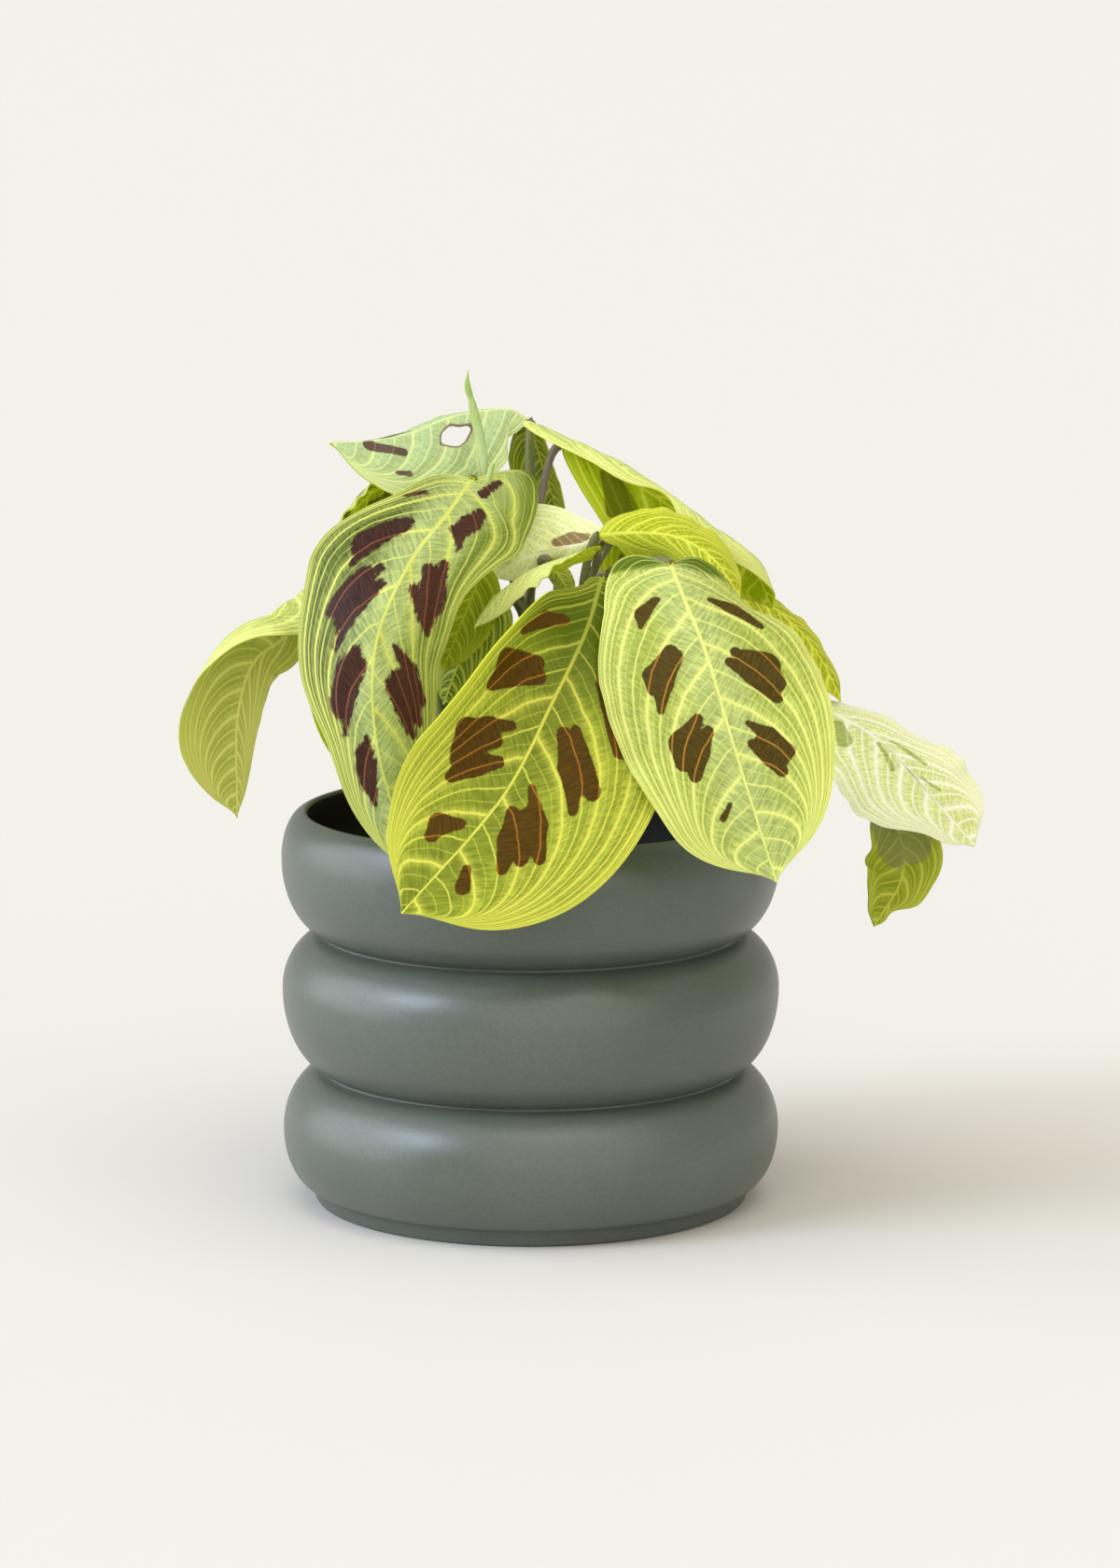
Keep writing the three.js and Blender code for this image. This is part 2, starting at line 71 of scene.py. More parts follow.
def linear(code: str) -> tuple[float, float, float, float]:
    """Turn an sRGB hex colour into linear RGBA.

    Args:
        code: The colour as "#rrggbb".

    Returns:
        Red, green, blue and alpha, each from 0 to 1.
    """
    channels = [int(code[i : i + 2], 16) / 255 for i in (1, 3, 5)]
    out = [c / 12.92 if c <= 0.04045 else ((c + 0.055) / 1.055) ** 2.4 for c in channels]
    return out[0], out[1], out[2], 1.0


def add_node(
    tree: Tree, kind: str, inputs: Mapping[int | str, object] | None = None, **settings: object
) -> Node:
    """Add a node with its settings and links.

    Inputs 1 to 4 of a Map Range node are the range that it reads and the range that it gives. Inputs 6 and 7
    of a Mix node are its two colours.

    Args:
        tree: The tree that gets the node.
        kind: The node's type name.
        inputs: A value, an output socket, or a node (for its first output), by the input's index or name.
        settings: The node's properties.

    Returns:
        The new node.
    """
    node = tree.nodes.new(kind)
    for name, value in settings.items():
        setattr(node, name, value)
    for key, value in (inputs or {}).items():
        if isinstance(value, Node):
            value = value.outputs[0]
        if isinstance(value, Socket):
            tree.links.new(value, node.inputs[key])
        else:
            node.inputs[key].default_value = value
    return node


def new_material(name: str) -> tuple[Material, Tree]:
    """Make an empty node material.

    Args:
        name: What the real material is.

    Returns:
        The material and its node tree, with only an output node.
    """
    made = bpy.data.materials.new(name)
    made.use_nodes = True
    made.node_tree.nodes.clear()
    made.node_tree.nodes.new("ShaderNodeOutputMaterial")
    return made, made.node_tree


def set_surface(tree: Tree, shader: Node) -> None:
    """Link a shader to the material's output."""
    out = next(n for n in tree.nodes if n.type == "OUTPUT_MATERIAL")
    tree.links.new(shader.outputs[0], out.inputs["Surface"])


def new_mesh_object(
    name: str,
    points: np.ndarray,
    faces: Sequence[Sequence[int]] | np.ndarray,
    edges: Sequence[Sequence[int]] = (),
    marks: Mapping[str, np.ndarray] | None = None,
) -> Object:
    """Make a mesh object at the origin, with float attributes on its points.

    Args:
        name: The object's name.
        points: Places in metres, one row a point.
        faces: Point numbers of each face.
        edges: Point numbers of each loose edge.
        marks: Attribute values by name, one a point.

    Returns:
        The object, linked to the scene.
    """
    mesh = bpy.data.meshes.new(name)
    mesh.from_pydata(points.tolist(), list(edges), [list(map(int, f)) for f in faces])
    for mark, values in (marks or {}).items():
        layer = mesh.attributes.new(mark, "FLOAT", "POINT")
        layer.data.foreach_set("value", np.asarray(values, np.float32).ravel())
    made = bpy.data.objects.new(name, mesh)
    bpy.context.scene.collection.objects.link(made)
    return made


def new_tree(name: str, sizes: Mapping[str, float | int | None]) -> tuple[Tree, Node]:
    """Start a geometry tree with named inputs.

    Args:
        name: The tree's name.
        sizes: The default of each input by its name, or None for an input that takes a material.

    Returns:
        The tree and its group input node.
    """
    tree = bpy.data.node_groups.new(name, "GeometryNodeTree")
    tree.interface.new_socket("Geometry", in_out="INPUT", socket_type="NodeSocketGeometry")
    tree.interface.new_socket("Geometry", in_out="OUTPUT", socket_type="NodeSocketGeometry")
    for label, value in sizes.items():
        socket = tree.interface.new_socket(label, in_out="INPUT", socket_type=SOCKETS[type(value)])
        if value is not None:
            socket.default_value = value
    return tree, tree.nodes.new("NodeGroupInput")


def end_tree(tree: Tree, *parts: Node) -> None:
    """Join the parts that a geometry tree made, realize their instances and give them out.

    Args:
        tree: The geometry tree.
        parts: The nodes whose first outputs are the parts.
    """
    whole = add_node(tree, "GeometryNodeJoinGeometry")
    for part in parts:
        tree.links.new(part.outputs[0], whole.inputs[0])
    whole = add_node(tree, "GeometryNodeRealizeInstances", {0: whole})
    tree.links.new(whole.outputs[0], tree.nodes.new("NodeGroupOutput").inputs[0])


def grow(made: Object, tree: Tree, values: Mapping[str, object]) -> Object:
    """Run a geometry tree on an object and keep the result as a plain mesh.

    Args:
        made: The object that the tree starts from.
        tree: The geometry tree.
        values: The tree's inputs, by their names.

    Returns:
        The same object with its new mesh and no modifier.
    """
    modifier = made.modifiers.new(tree.name, "NODES")
    modifier.node_group = tree
    for item in tree.interface.items_tree:
        if item.item_type == "SOCKET" and item.in_out == "INPUT" and item.name in values:
            modifier[item.identifier] = values[item.name]
    bpy.context.view_layer.update()
    evaluated = made.evaluated_get(bpy.context.evaluated_depsgraph_get())
    mesh = bpy.data.meshes.new_from_object(evaluated)
    made.modifiers.remove(modifier)
    made.data = mesh
    return made


def place(made: Object, slot: str, *nodes: str) -> Object:
    """Let a finished piece ride on the plant and stand for its CAD nodes.

    Args:
        made: The piece.
        slot: Not used.
        nodes: The CAD nodes that it replaces.

    Returns:
        The same piece.
    """
    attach(made, "root")
    if nodes:
        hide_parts(*nodes)
    log.info("%s: %d faces", made.name, len(made.data.polygons))
    return made


class Centreline:
    """A smooth curve through points, read by its share of length (centripetal Catmull-Rom)."""

    def __init__(self, points: Sequence[Point], steps: int = 400) -> None:
        """Sample the curve.

        Args:
            points: The points that it passes through.
            steps: How many stretches it is sampled in.
        """
        p = np.array(points, float)
        p = np.vstack([2 * p[0] - p[1], p, 2 * p[-1] - p[-2]])
        knots = np.concatenate([[0], np.cumsum(np.linalg.norm(np.diff(p, axis=0), axis=1) ** 0.5)])
        at = np.linspace(0, 1, steps + 1) * (len(points) - 1)
        span = np.minimum(at.astype(int), len(points) - 2)
        k = [knots[span + i][:, None] for i in range(4)]
        q = [p[span + i] for i in range(4)]
        w = k[1] + (at - span)[:, None] * (k[2] - k[1])
        a = [(q[i] * (k[i + 1] - w) + q[i + 1] * (w - k[i])) / (k[i + 1] - k[i]) for i in range(3)]
        b = [(a[i] * (k[i + 2] - w) + a[i + 1] * (w - k[i])) / (k[i + 2] - k[i]) for i in range(2)]
        self.points = (b[0] * (k[2] - w) + b[1] * (w - k[1])) / (k[2] - k[1])
        lengths = np.linalg.norm(np.diff(self.points, axis=0), axis=1)
        self.marks = np.concatenate([[0], np.cumsum(lengths)])
        self.length = float(self.marks[-1])
        self.tangents = unit(np.gradient(self.points, self.marks, axis=0))

    def at(self, share: np.ndarray) -> tuple[np.ndarray, np.ndarray]:
        """Read the curve.

        Args:
            share: Shares of its length, from 0 to 1.

        Returns:
            The points there and the directions of the curve.
        """
        s = np.clip(share, 0, 1) * self.length
        points, tangents = (
            np.stack([np.interp(s, self.marks, column) for column in rows.T], -1)
            for rows in (self.points, self.tangents)
        )
        return points, unit(tangents)


def unit(vectors: np.ndarray) -> np.ndarray:
    """Scale vectors to length 1."""
    return vectors / np.linalg.norm(vectors, axis=-1, keepdims=True)


def smooth(low: float, high: float, values: np.ndarray) -> np.ndarray:
    """Rise smoothly from 0 at low to 1 at high."""
    t = np.clip((values - low) / (high - low), 0, 1)
    return t * t * (3 - 2 * t)


# ---- Leaf finish ----


class Mark(str, Enum):
    """The attributes of a blade that its finish reads, each a number at a point of its surface."""

    VEIN = "vein"  # counts the main veins from the margin inwards; a whole number on each main vein
    GAP = "vein_gap"  # mm between two main veins there
    ALONG = "along_vein"  # mm along the vein
    RIB = "from_rib"  # mm from the midrib
    SHARE = "leaf_share"  # 0 at the blade's base, 1 at its tip
    BLOTCH = "to_blotch"  # mm to the edge of the nearest blotch, below 0 inside it
    TEAR = "to_tear"  # mm to the edge of a torn hole


@dataclass(frozen=True)
class LeafFinish:
    """Living leaf blade of a maranta: satin cuticle over pale tissue, with yellow veins and dark blotches.

    Args:
        name: The material's name.
        inner: Ground colour beside the midrib.
        outer: Ground colour towards the margin.
        vein: Colour of the veins and midrib.
        blotch: Colour of the blotches.
        blotch_vein: Colour of the veins where they cross a blotch.
        shown: How strongly the blotches show, from 0 to 1.
        glow: Share of the light that passes through the blade.
        roughness: Roughness of the cuticle.
        main: Half width of a main vein, in mm.
        hatch: Strength of the fine cross veins.
        halo: Strength of the yellow flush beside the main veins.
        lobes: Painted shade: a darker colour for the lobes behind the stalk, which lie in shade.
        base: Painted shade: a darker ground colour at the blade's base, where it lies under the leaves above.
        fade: How much the veins weaken towards the margin, from 0 to 1.
        painted_side_shade: Painted light and shade: how much lighter the ground is painted on the right half
            than on the left.
        fray: How far the blotches fray along the veins, in mm.
    """

    name: str
    inner: str
    outer: str
    vein: str
    blotch: str = "#5a4418"
    blotch_vein: str = "#c98a34"
    shown: float = 1.0
    glow: float = 0.3
    roughness: float = 0.42
    main: float = 0.5
    hatch: float = 0.22
    halo: float = 0.4
    lobes: str = ""
    base: str = ""
    fade: float = 0.0
    painted_side_shade: float = 0.0
    fray: float = 0.25

    def material(self) -> Material:
        """Build the material.

        Returns:
            The material, which reads the marks of a blade.
        """
        return LeafPainter(self).paint()


class LeafPainter:
    """Builds the material of a leaf finish, step by step.

    Its steps share the finish (look), the material and its tree (made, tree), the function that adds a node
    (add), the blade's marks (read), a slow noise (slow) and the swaying vein count (count).
    """

    def __init__(self, look: LeafFinish) -> None:
        """Start the material and read the marks.

        Args:
            look: The finish.
        """
        self.look = look
        self.made, self.tree = new_material(look.name)
        self.add = add = partial(add_node, self.tree)
        self.read = read = {
            m: add("ShaderNodeAttribute", attribute_name=m.value).outputs["Fac"] for m in Mark
        }
        # A slow noise on the flat blade keeps the veins and the ground from looking ruled.
        flat = add("ShaderNodeCombineXYZ", {0: read[Mark.RIB], 1: read[Mark.ALONG], 2: read[Mark.SHARE]})
        self.slow = add("ShaderNodeTexNoise", {"Vector": flat, "Scale": 0.09, "Detail": 2.0})
        sway = add("ShaderNodeMath", {0: self.slow, 1: 0.16, 2: -0.08}, operation="MULTIPLY_ADD")
        self.count = add("ShaderNodeMath", {0: read[Mark.VEIN], 1: sway}, operation="ADD")

    def paint(self) -> Material:
        """Build the whole material.

        Returns:
            The material.
        """
        add, read, look = self.add, self.read, self.look
        hatch = self.cross_veins()
        # Painted light and shade: the ground is painted lighter on the right half and darker on the left.
        side = add(
            "ShaderNodeMapRange", {0: read[Mark.RIB], 1: -12.0, 2: 12.0, 3: 1 - look.painted_side_shade, 4: 1 + look.painted_side_shade}
        )
        shade = add("ShaderNodeMath", {0: hatch, 1: side}, operation="ADD")
        veins, lit, halo = self.long_veins()
        green = self.green(shade, lit, halo)
        colour = self.blotched(shade, green)
        # Relief: the tissue swells between the main veins and the cross veins score it.
        relief = add("ShaderNodeMath", {0: veins, 1: -0.35, 2: hatch}, operation="MULTIPLY_ADD")
        bump = add("ShaderNodeBump", {"Strength": 0.5, "Distance": 0.25 * MM, "Height": relief})
        coat = {"Roughness": look.roughness, "IOR": 1.36, "Specular IOR Level": 0.25, "Normal": bump}
        skin = add("ShaderNodeBsdfPrincipled", {"Base Color": colour, **coat})
        through = add("ShaderNodeBsdfTranslucent", {"Color": colour, "Normal": bump})
        set_surface(self.tree, add("ShaderNodeMixShader", {0: look.glow, 1: skin, 2: through}))
        return self.made

    def cross_veins(self) -> Node:
        """Draw the cross veins, about 0.6 mm apart on the plant and over 1 mm apart here so that they show.

        Returns:
            How much lighter the tissue is, below 0 where it is darker.
        """
        add, read, look, count = self.add, self.read, self.look, self.count
        across = add("ShaderNodeMath", {0: count, 1: 3.0}, operation="MULTIPLY")
        along = add("ShaderNodeMath", {0: read[Mark.ALONG], 1: 1.2}, operation="MULTIPLY")
        at = add("ShaderNodeCombineXYZ", {0: across, 1: along, 2: 0.0})
        noise = add("ShaderNodeTexNoise", {"Vector": at, "Scale": 1.0, "Detail": 1.0, "Roughness": 0.6})
        return add("ShaderNodeMapRange", {0: noise, 1: 0.35, 2: 0.65, 3: -look.hatch, 4: look.hatch})

    def long_veins(self) -> tuple[Node, Node, Node]:
        """Draw the veins that run from the midrib to the tip, and the midrib.

        Returns:
            The veins, the veins with the midrib, and the flush beside the main veins, each from 0 to 1.
        """
        add, read, look = self.add, self.read, self.look
        veins: Node | float = 0.0
        for strength, every, half, edge in (
            (1.0, 1.0, look.main, 0.34),
            (0.85, 0.5, look.main * 0.6, 0.22),
            (0.38, 0.25, look.main * 0.3, 0.2),
        ):
            lines = self.vein_lines(every, half, edge)
            lines = add("ShaderNodeMath", {0: lines, 1: strength}, operation="MULTIPLY")
            veins = add("ShaderNodeMath", {0: lines, 1: veins}, operation="MAXIMUM")
        beside = self.vein_lines(1.0, 0.2, 2.6)
        roomy = add("ShaderNodeMapRange", {0: read[Mark.GAP], 1: 2.5, 2: 7.0, 3: 0.0, 4: look.halo})
        halo = add("ShaderNodeMath", {0: beside, 1: roomy}, operation="MULTIPLY")
        # The midrib narrows from the base to the tip.
        reach = add("ShaderNodeMapRange", {0: read[Mark.SHARE], 3: 0.68, 4: 0.25})
        away = add("ShaderNodeMath", {0: read[Mark.RIB]}, operation="ABSOLUTE")
        away = add("ShaderNodeMath", {0: away, 1: reach}, operation="DIVIDE")
        rib = add("ShaderNodeMapRange", {0: away, 1: 0.55, 2: 1.3, 3: 1.0, 4: 0.0}, interpolation_type=SMOOTH)
        return veins, add("ShaderNodeMath", {0: veins, 1: rib}, operation="MAXIMUM"), halo

    def green(self, shade: Node, lit: Node, halo: Node) -> Socket:
        """Colour the ground and draw the veins on it, with painted shade at the base and the lobes where a
        finish asks for it.

        Args:
            shade: How light the ground is, with the painted light and shade of the two halves.
            lit: The veins with the midrib.
            halo: The flush beside the main veins.

        Returns:
            The colour.
        """
        add, read, look, slow = self.add, self.read, self.look, self.slow
        # The ground changes from the midrib outwards, with soft clouds.
        away = add("ShaderNodeMath", {0: read[Mark.RIB]}, operation="ABSOLUTE")
        away = add("ShaderNodeMapRange", {0: away, 1: 2.0, 2: 17.0}, interpolation_type=SMOOTH)
        cloud = add("ShaderNodeMapRange", {0: slow, 1: 0.3, 2: 0.7, 3: -0.25, 4: 0.25})
        out = add("ShaderNodeMath", {0: away, 1: cloud}, operation="ADD", use_clamp=True)
        ground = add(
            "ShaderNodeMix", {0: out, 6: linear(look.inner), 7: linear(look.outer)}, data_type="RGBA"
        )
        ground = add("ShaderNodeMix", {0: halo, 6: ground.outputs[2], 7: linear(look.vein)}, data_type="RGBA")
        ground = add(
            "ShaderNodeVectorMath", {0: ground.outputs[2], "Scale": shade}, operation="SCALE"
        ).outputs[0]
        kept = add("ShaderNodeMath", {0: away, 1: -look.fade, 2: 1.0}, operation="MULTIPLY_ADD")
        lit = add("ShaderNodeMath", {0: lit, 1: kept}, operation="MULTIPLY")
        # Painted shade: some leaves get a darker green, with fainter veins, at the base or on the lobes.
        for tint, low, high, shade_dims_veins in ((look.base, 0.16, 0.5, 0.62), (look.lobes, -0.012, 0.02, 0.5)):
            if tint:
                near = add(
                    "ShaderNodeMapRange",
                    {0: read[Mark.SHARE], 1: low, 2: high, 3: 0.95, 4: 0.0},
                    interpolation_type=SMOOTH,
                )
                shaded_ground = add("ShaderNodeMix", {0: near, 6: ground, 7: linear(tint)}, data_type="RGBA")
                ground = shaded_ground.outputs[2]
                kept = add("ShaderNodeMath", {0: near, 1: -shade_dims_veins, 2: 1.0}, operation="MULTIPLY_ADD")
                lit = add("ShaderNodeMath", {0: lit, 1: kept}, operation="MULTIPLY")
        return add("ShaderNodeMix", {0: lit, 6: ground, 7: linear(look.vein)}, data_type="RGBA").outputs[2]

    def blotched(self, shade: Node, green: Socket) -> Socket:
        """Lay the blotches on the green, frayed along the veins, and brown the edge of a torn hole.

        Args:
            shade: How light the ground is, with the painted light and shade of the two halves.
            green: The colour without blotches.

        Returns:
            The colour.
        """
        add, read, look, count = self.add, self.read, self.look, self.count
        across = add("ShaderNodeMath", {0: count, 1: 14.0}, operation="MULTIPLY")
        along = add("ShaderNodeMath", {0: read[Mark.ALONG], 1: 0.35}, operation="MULTIPLY")
        at = add("ShaderNodeCombineXYZ", {0: across, 1: along, 2: 0.0})
        fray = add("ShaderNodeTexNoise", {"Vector": at, "Scale": 1.0, "Detail": 2.0})
        fray = add("ShaderNodeMapRange", {0: fray, 1: 0.3, 2: 0.7, 3: -0.2 * look.fray, 4: look.fray})
        edge = add("ShaderNodeMath", {0: read[Mark.BLOTCH], 1: fray}, operation="ADD")
        inside = add(
            "ShaderNodeMapRange",
            {0: edge, 1: 0.1, 2: 0.45 + 0.6 * look.fray, 3: look.shown, 4: 0.0},
            interpolation_type=SMOOTH,
        )
        dark = add("ShaderNodeVectorMath", {0: linear(look.blotch)[:3], "Scale": shade}, operation="SCALE")
        crossed = self.vein_lines(0.5, 0.1, 0.3)
        crossed = add("ShaderNodeMath", {0: crossed, 1: 0.9}, operation="MULTIPLY")
        dark = add("ShaderNodeMix", {0: crossed, 6: dark, 7: linear(look.blotch_vein)}, data_type="RGBA")
        colour = add("ShaderNodeMix", {0: inside, 6: green, 7: dark.outputs[2]}, data_type="RGBA").outputs[2]
        dry = add(
            "ShaderNodeMapRange",
            {0: read[Mark.TEAR], 1: 0.15, 2: 0.75, 3: 0.9, 4: 0.0},
            interpolation_type=SMOOTH,
        )
        return add("ShaderNodeMix", {0: dry, 6: colour, 7: linear("#8a7458")}, data_type="RGBA").outputs[2]

    def vein_lines(self, every: float, half: float, edge: float) -> Node:
        """Draw the veins that stand at every whole multiple of a step.

        Args:
            every: The step, in main veins.
            half: Half the width of a line, in mm.
            edge: Width of its soft edge, in mm.

        Returns:
            A node that gives 1 on a line and 0 beside it.
        """
        add, read, count = self.add, self.read, self.count
        # Distance to the nearest multiple, in main veins: the ping-pong falls back to 0 at each of them.
        off = add("ShaderNodeMath", {0: count, 1: every / 2}, operation="PINGPONG")
        away = add("ShaderNodeMath", {0: off, 1: read[Mark.GAP]}, operation="MULTIPLY")
        # Where the veins crowd together each gets thinner, so that green still shows between them.
        room = add("ShaderNodeMath", {0: read[Mark.GAP], 1: every * 0.34}, operation="MULTIPLY")
        fade = add("ShaderNodeMath", {0: room, 1: half + edge}, operation="MINIMUM")
        return add(
            "ShaderNodeMapRange", {0: away, 1: 0.05, 2: fade, 3: 1.0, 4: 0.0}, interpolation_type=SMOOTH
        )


class Tone(Enum):
    """The finishes of the leaf faces on this plant, by how old the leaf is and how it shows its colours; the
    darkest is partly painted shade.
    """

    # Its dark lobes colour is painted shade.
    PALE = LeafFinish(
        "leaf upper face, pale", "#bccb7a", "#b0bf56", "#f2f690", "#54440f", "#c48a34", lobes="#557000"
    )
    # Its darker base colour is painted shade.
    BRIGHT = LeafFinish(
        "leaf upper face, bright", "#8a962c", "#a6b238", "#ecec62", "#5a4004", "#b87826",
        main=0.4, base="#566a02",
    )
    # This finish paints the right half of a leaf lighter and the left half darker, as painted light and
    # shade.
    GREY = LeafFinish(
        "leaf upper face, grey green", "#b8c880", "#768638", "#e6ec7c", "#4c2f24", "#96583c",
        main=0.42, fade=0.1, painted_side_shade=0.3, fray=1.0,
    )
    SILVER = LeafFinish(
        "leaf upper face, silvery", "#bcd29a", "#b4cb90", "#e8f2b0", "#6a564c", "#8f7a60",
        main=0.36, hatch=0.12, halo=0.2,
    )
    CREAM = LeafFinish(
        "leaf upper face, cream", "#ecf4a2", "#e0ec8a", "#ffffd8", "#9a8458", "#c8b078", hatch=0.12
    )
    LIGHT = LeafFinish("leaf upper face, light", "#d2e08e", "#c4d26a", "#f8fb9c", "#54440f", "#c48a34")
    IVORY = LeafFinish(
        "leaf upper face, ivory", "#dfe79c", "#e4ea9e", "#fffff2", "#98ab3c", "#c6cf60",
        shown=0.75, main=0.75, hatch=0.14,
    )
    VIVID = LeafFinish(
        "leaf upper face, yellow green", "#b4bd26", "#bfc832", "#eff35c", "#6c7a08", "#b0b02a", glow=0.4
    )
    # A dark green for the leaves inside the clump: partly their own colour and partly painted shade for the
    # shade there.
    DEEP_AND_SHADED = LeafFinish("leaf upper face, deep green and painted shade", "#5f7a12", "#74901c", "#d0d65a", "#3e3f0a", "#8f7a24")
    UNDER = LeafFinish(
        "leaf underside, lit through", "#c2d01a", "#d4e02a", "#f4f866", "#98a614", "#b8b830",
        shown=0.85, glow=0.65, roughness=0.5, main=0.46, hatch=0.06,
    )
    OLIVE = LeafFinish(
        "leaf underside, olive", "#c0c65e", "#c8cd66", "#eeee90", "#868c34", "#b4b450",
        shown=0.6, glow=0.4, roughness=0.5, main=0.42, hatch=0.06,
    )
    MOSS = LeafFinish(
        "leaf underside, moss green", "#a4b226", "#b4c030", "#dde05c", "#a4a45e", "#bcbc74",
        shown=0.8, glow=0.4, roughness=0.5, main=0.4, hatch=0.06,
    )


# ---- Leaf blades ----

LOBE_SPAN = 0.3  # the share of the margin that the lobe behind the stalk takes
TRIM_SPAN = 0.11  # the share of the length that a trim reaches to either side
TIP_SPAN = 0.05  # the share of the length over which the blade draws in to its tip
BASE_VEINS = 1.6  # main veins that leave the midrib close together at the base
BASE_SPAN = 0.025  # the share of the length that they leave it on
LATER = 0.35  # how much later the veins of the right half start, in main veins
FRILLS = 2.7  # small waves of the margin for each large one
WIDE_GAP = 9.0  # mm between two main veins where the tissue swells in full
SOFT = 0.6  # mm: how softly the fingers of a blotch run together
SHARP = math.radians(50)  # edges that turn further stay sharp
SOFT_BEND, DEEP_BEND = (10, 10, 30, 30), (10, 10, 40, 40)  # two usual bends of a half


@dataclass(frozen=True)
class Half:
    """One half of a blade, beside its midrib.

    Args:
        width: From the midrib to the margin along the surface, in mm.
        bend: Degrees that it drops beside the midrib at the base and at the tip, then degrees that it bends
            further on the way to its margin, at the base and at the tip.
        lobe: How far its lobe reaches back past the stalk, as a share of the length.
        belly: Above 1 the widest place moves towards the base, below 1 towards the tip.
        trim: Shares of the length and the mm that the margin there stands out further.
        fingers: The blotches, each as its two round ends: x, y and radius in mm, then again. x counts from
            the midrib and y from the base.
    """

    width: float
    bend: tuple[float, float, float, float]
    lobe: float = 0.07
    belly: float = 1.2
    trim: tuple[tuple[float, float], ...] = ()
    fingers: tuple[tuple[float, ...], ...] = ()


@dataclass(frozen=True)
class Blade:
    """One leaf blade.

    Args:
        name: The end of its CAD node's name.
        rib: The midrib from the blade's base to its tip, in mm.
        face: The way that its upper face looks, at the base and at the tip.
        left: The left half of a leaf that hangs with its upper face towards the viewer.
        right: Its right half.
        wave: Height of the margin's waves in mm, how many along the blade, and where they start.
        upper: Finish of the upper face.
        under: Finish of the underside.
        notch: How fast the rows of the blade leave its base.
        fine: Rows of faces from base to tip.
        pleat: How far the tissue swells between the main veins, in mm.
        veins: Main veins of a half.
        frill: Height of the small waves of the margin, in mm.
        tear: Outline of a torn hole in the half that faces the front, as x and z in mm.
    """

    name: str
    rib: tuple[Point, ...]
    face: tuple[Point, Point]
    left: Half
    right: Half
    wave: tuple[float, float, float]
    upper: Tone = Tone.PALE
    under: Tone = Tone.UNDER
    notch: float = 0.144
    fine: int = 110
    pleat: float = 0.3
    veins: float = 6.3
    frill: float = 0.7
    tear: tuple[tuple[float, float], ...] = ()

    def margin(self, half: Half, t: np.ndarray) -> tuple[np.ndarray, np.ndarray]:
        """Find the margin of a half in the flat.

        Args:
            half: The half.
            t: Places along the margin, from 0 at the notch to 1 at the tip.

        Returns:
            Shares of the length, and mm from the midrib.
        """
        dip = half.lobe * np.sin(np.pi * np.minimum(t / LOBE_SPAN, 1))
        tip = 0.3 * t
        along = ((1 - tip) * (1 - np.cos(np.pi * t)) / 2 + tip * t) ** half.belly
        across = np.sin(np.pi * t) * (1 - 0.3 * t**6) * half.width
        if half.trim:
            spots = np.array(half.trim)
            weight = np.exp(-(((along[..., None] - spots[:, 0]) / TRIM_SPAN) ** 2))
            across = across + (weight * spots[:, 1]).sum(-1) * np.minimum(np.sin(np.pi * t) * 3, 1)
        # The blade draws in to a drip tip. It is 0.9 mm wide at the notch and nowhere under 0.25 mm.
        across = across * (1 - 0.5 * np.exp(-(((1 - along) / TIP_SPAN) ** 2)))
        return along - dip, np.maximum(across, 0.25 + 0.65 * np.exp(-60 * t))

    def bent(self, across: np.ndarray, along: np.ndarray, rib: Centreline) -> np.ndarray:
        """Bend the flat blade into its place.

        Args:
            across: mm from the midrib, below 0 on the left.
            along: mm from the base.
            rib: The midrib.

        Returns:
            Points in mm.
        """
        share = np.clip(along / rib.length, 0, 1)
        centre, tangent = rib.at(share)
        centre = centre + tangent * (along - share * rib.length)[..., None]
        base, tip = unit(np.array(self.face, float))
        normal = base * (1 - share)[..., None] + tip * share[..., None]
        normal = unit(normal - tangent * (normal * tangent).sum(-1, keepdims=True))
        right = across >= 0
        sideways = np.cross(normal, tangent) * np.where(right, 1, -1)[..., None]
        bend = [np.where(right, r, l) for l, r in zip(self.left.bend, self.right.bend, strict=True)]
        width = np.where(right, self.right.width, self.left.width)
        distance = np.abs(across)
        fold = np.radians(bend[0] * (1 - share) + bend[1] * share)
        curl = np.radians(bend[2] * (1 - share) + bend[3] * share) / width
        curl = np.where(np.abs(curl) < 1e-4, 1e-4, curl)
        turn = fold + curl * distance
        out = (np.sin(turn) - np.sin(fold)) / curl
        drop = (np.cos(turn) - np.cos(fold)) / curl
        # The two halves wave out of step.
        height, waves, start = self.wave
        phase = waves * share + start + right * 0.37
        ripple = height * (distance / width) ** 2 * np.sin(2 * np.pi * phase)
        phase = waves * FRILLS * share + 2 * start + right * 0.6
        frill = self.frill * (distance / width) ** 4 * np.sin(2 * np.pi * phase)
        ripple = ripple + frill * np.sin(np.pi * share)
        return centre + sideways * out[..., None] + normal * (drop + ripple)[..., None]

    @staticmethod
    def vein_start(u: np.ndarray, v: np.ndarray) -> np.ndarray:
        """Find where the vein through a place leaves the midrib.

        A vein leaves the midrib at a share s of the length and follows v = 1 - (s / u) ** (1 - s) ** -1.4
        towards the tip, where all veins meet.

        Args:
            u: Shares of the length.
            v: Shares of the way from the midrib to the margin.

        Returns:
            The shares s.
        """
        low, high = np.zeros_like(u), u.copy()
        want = np.log(np.maximum(1 - v, 1e-4))
        for _ in range(36):
            s = (low + high) / 2
            got = (1 - s) ** -1.4 * np.log(np.maximum(s, 1e-9) / np.maximum(u, 1e-9))
            low, high = np.where(got < want, s, low), np.where(got < want, high, s)
        return (low + high) / 2

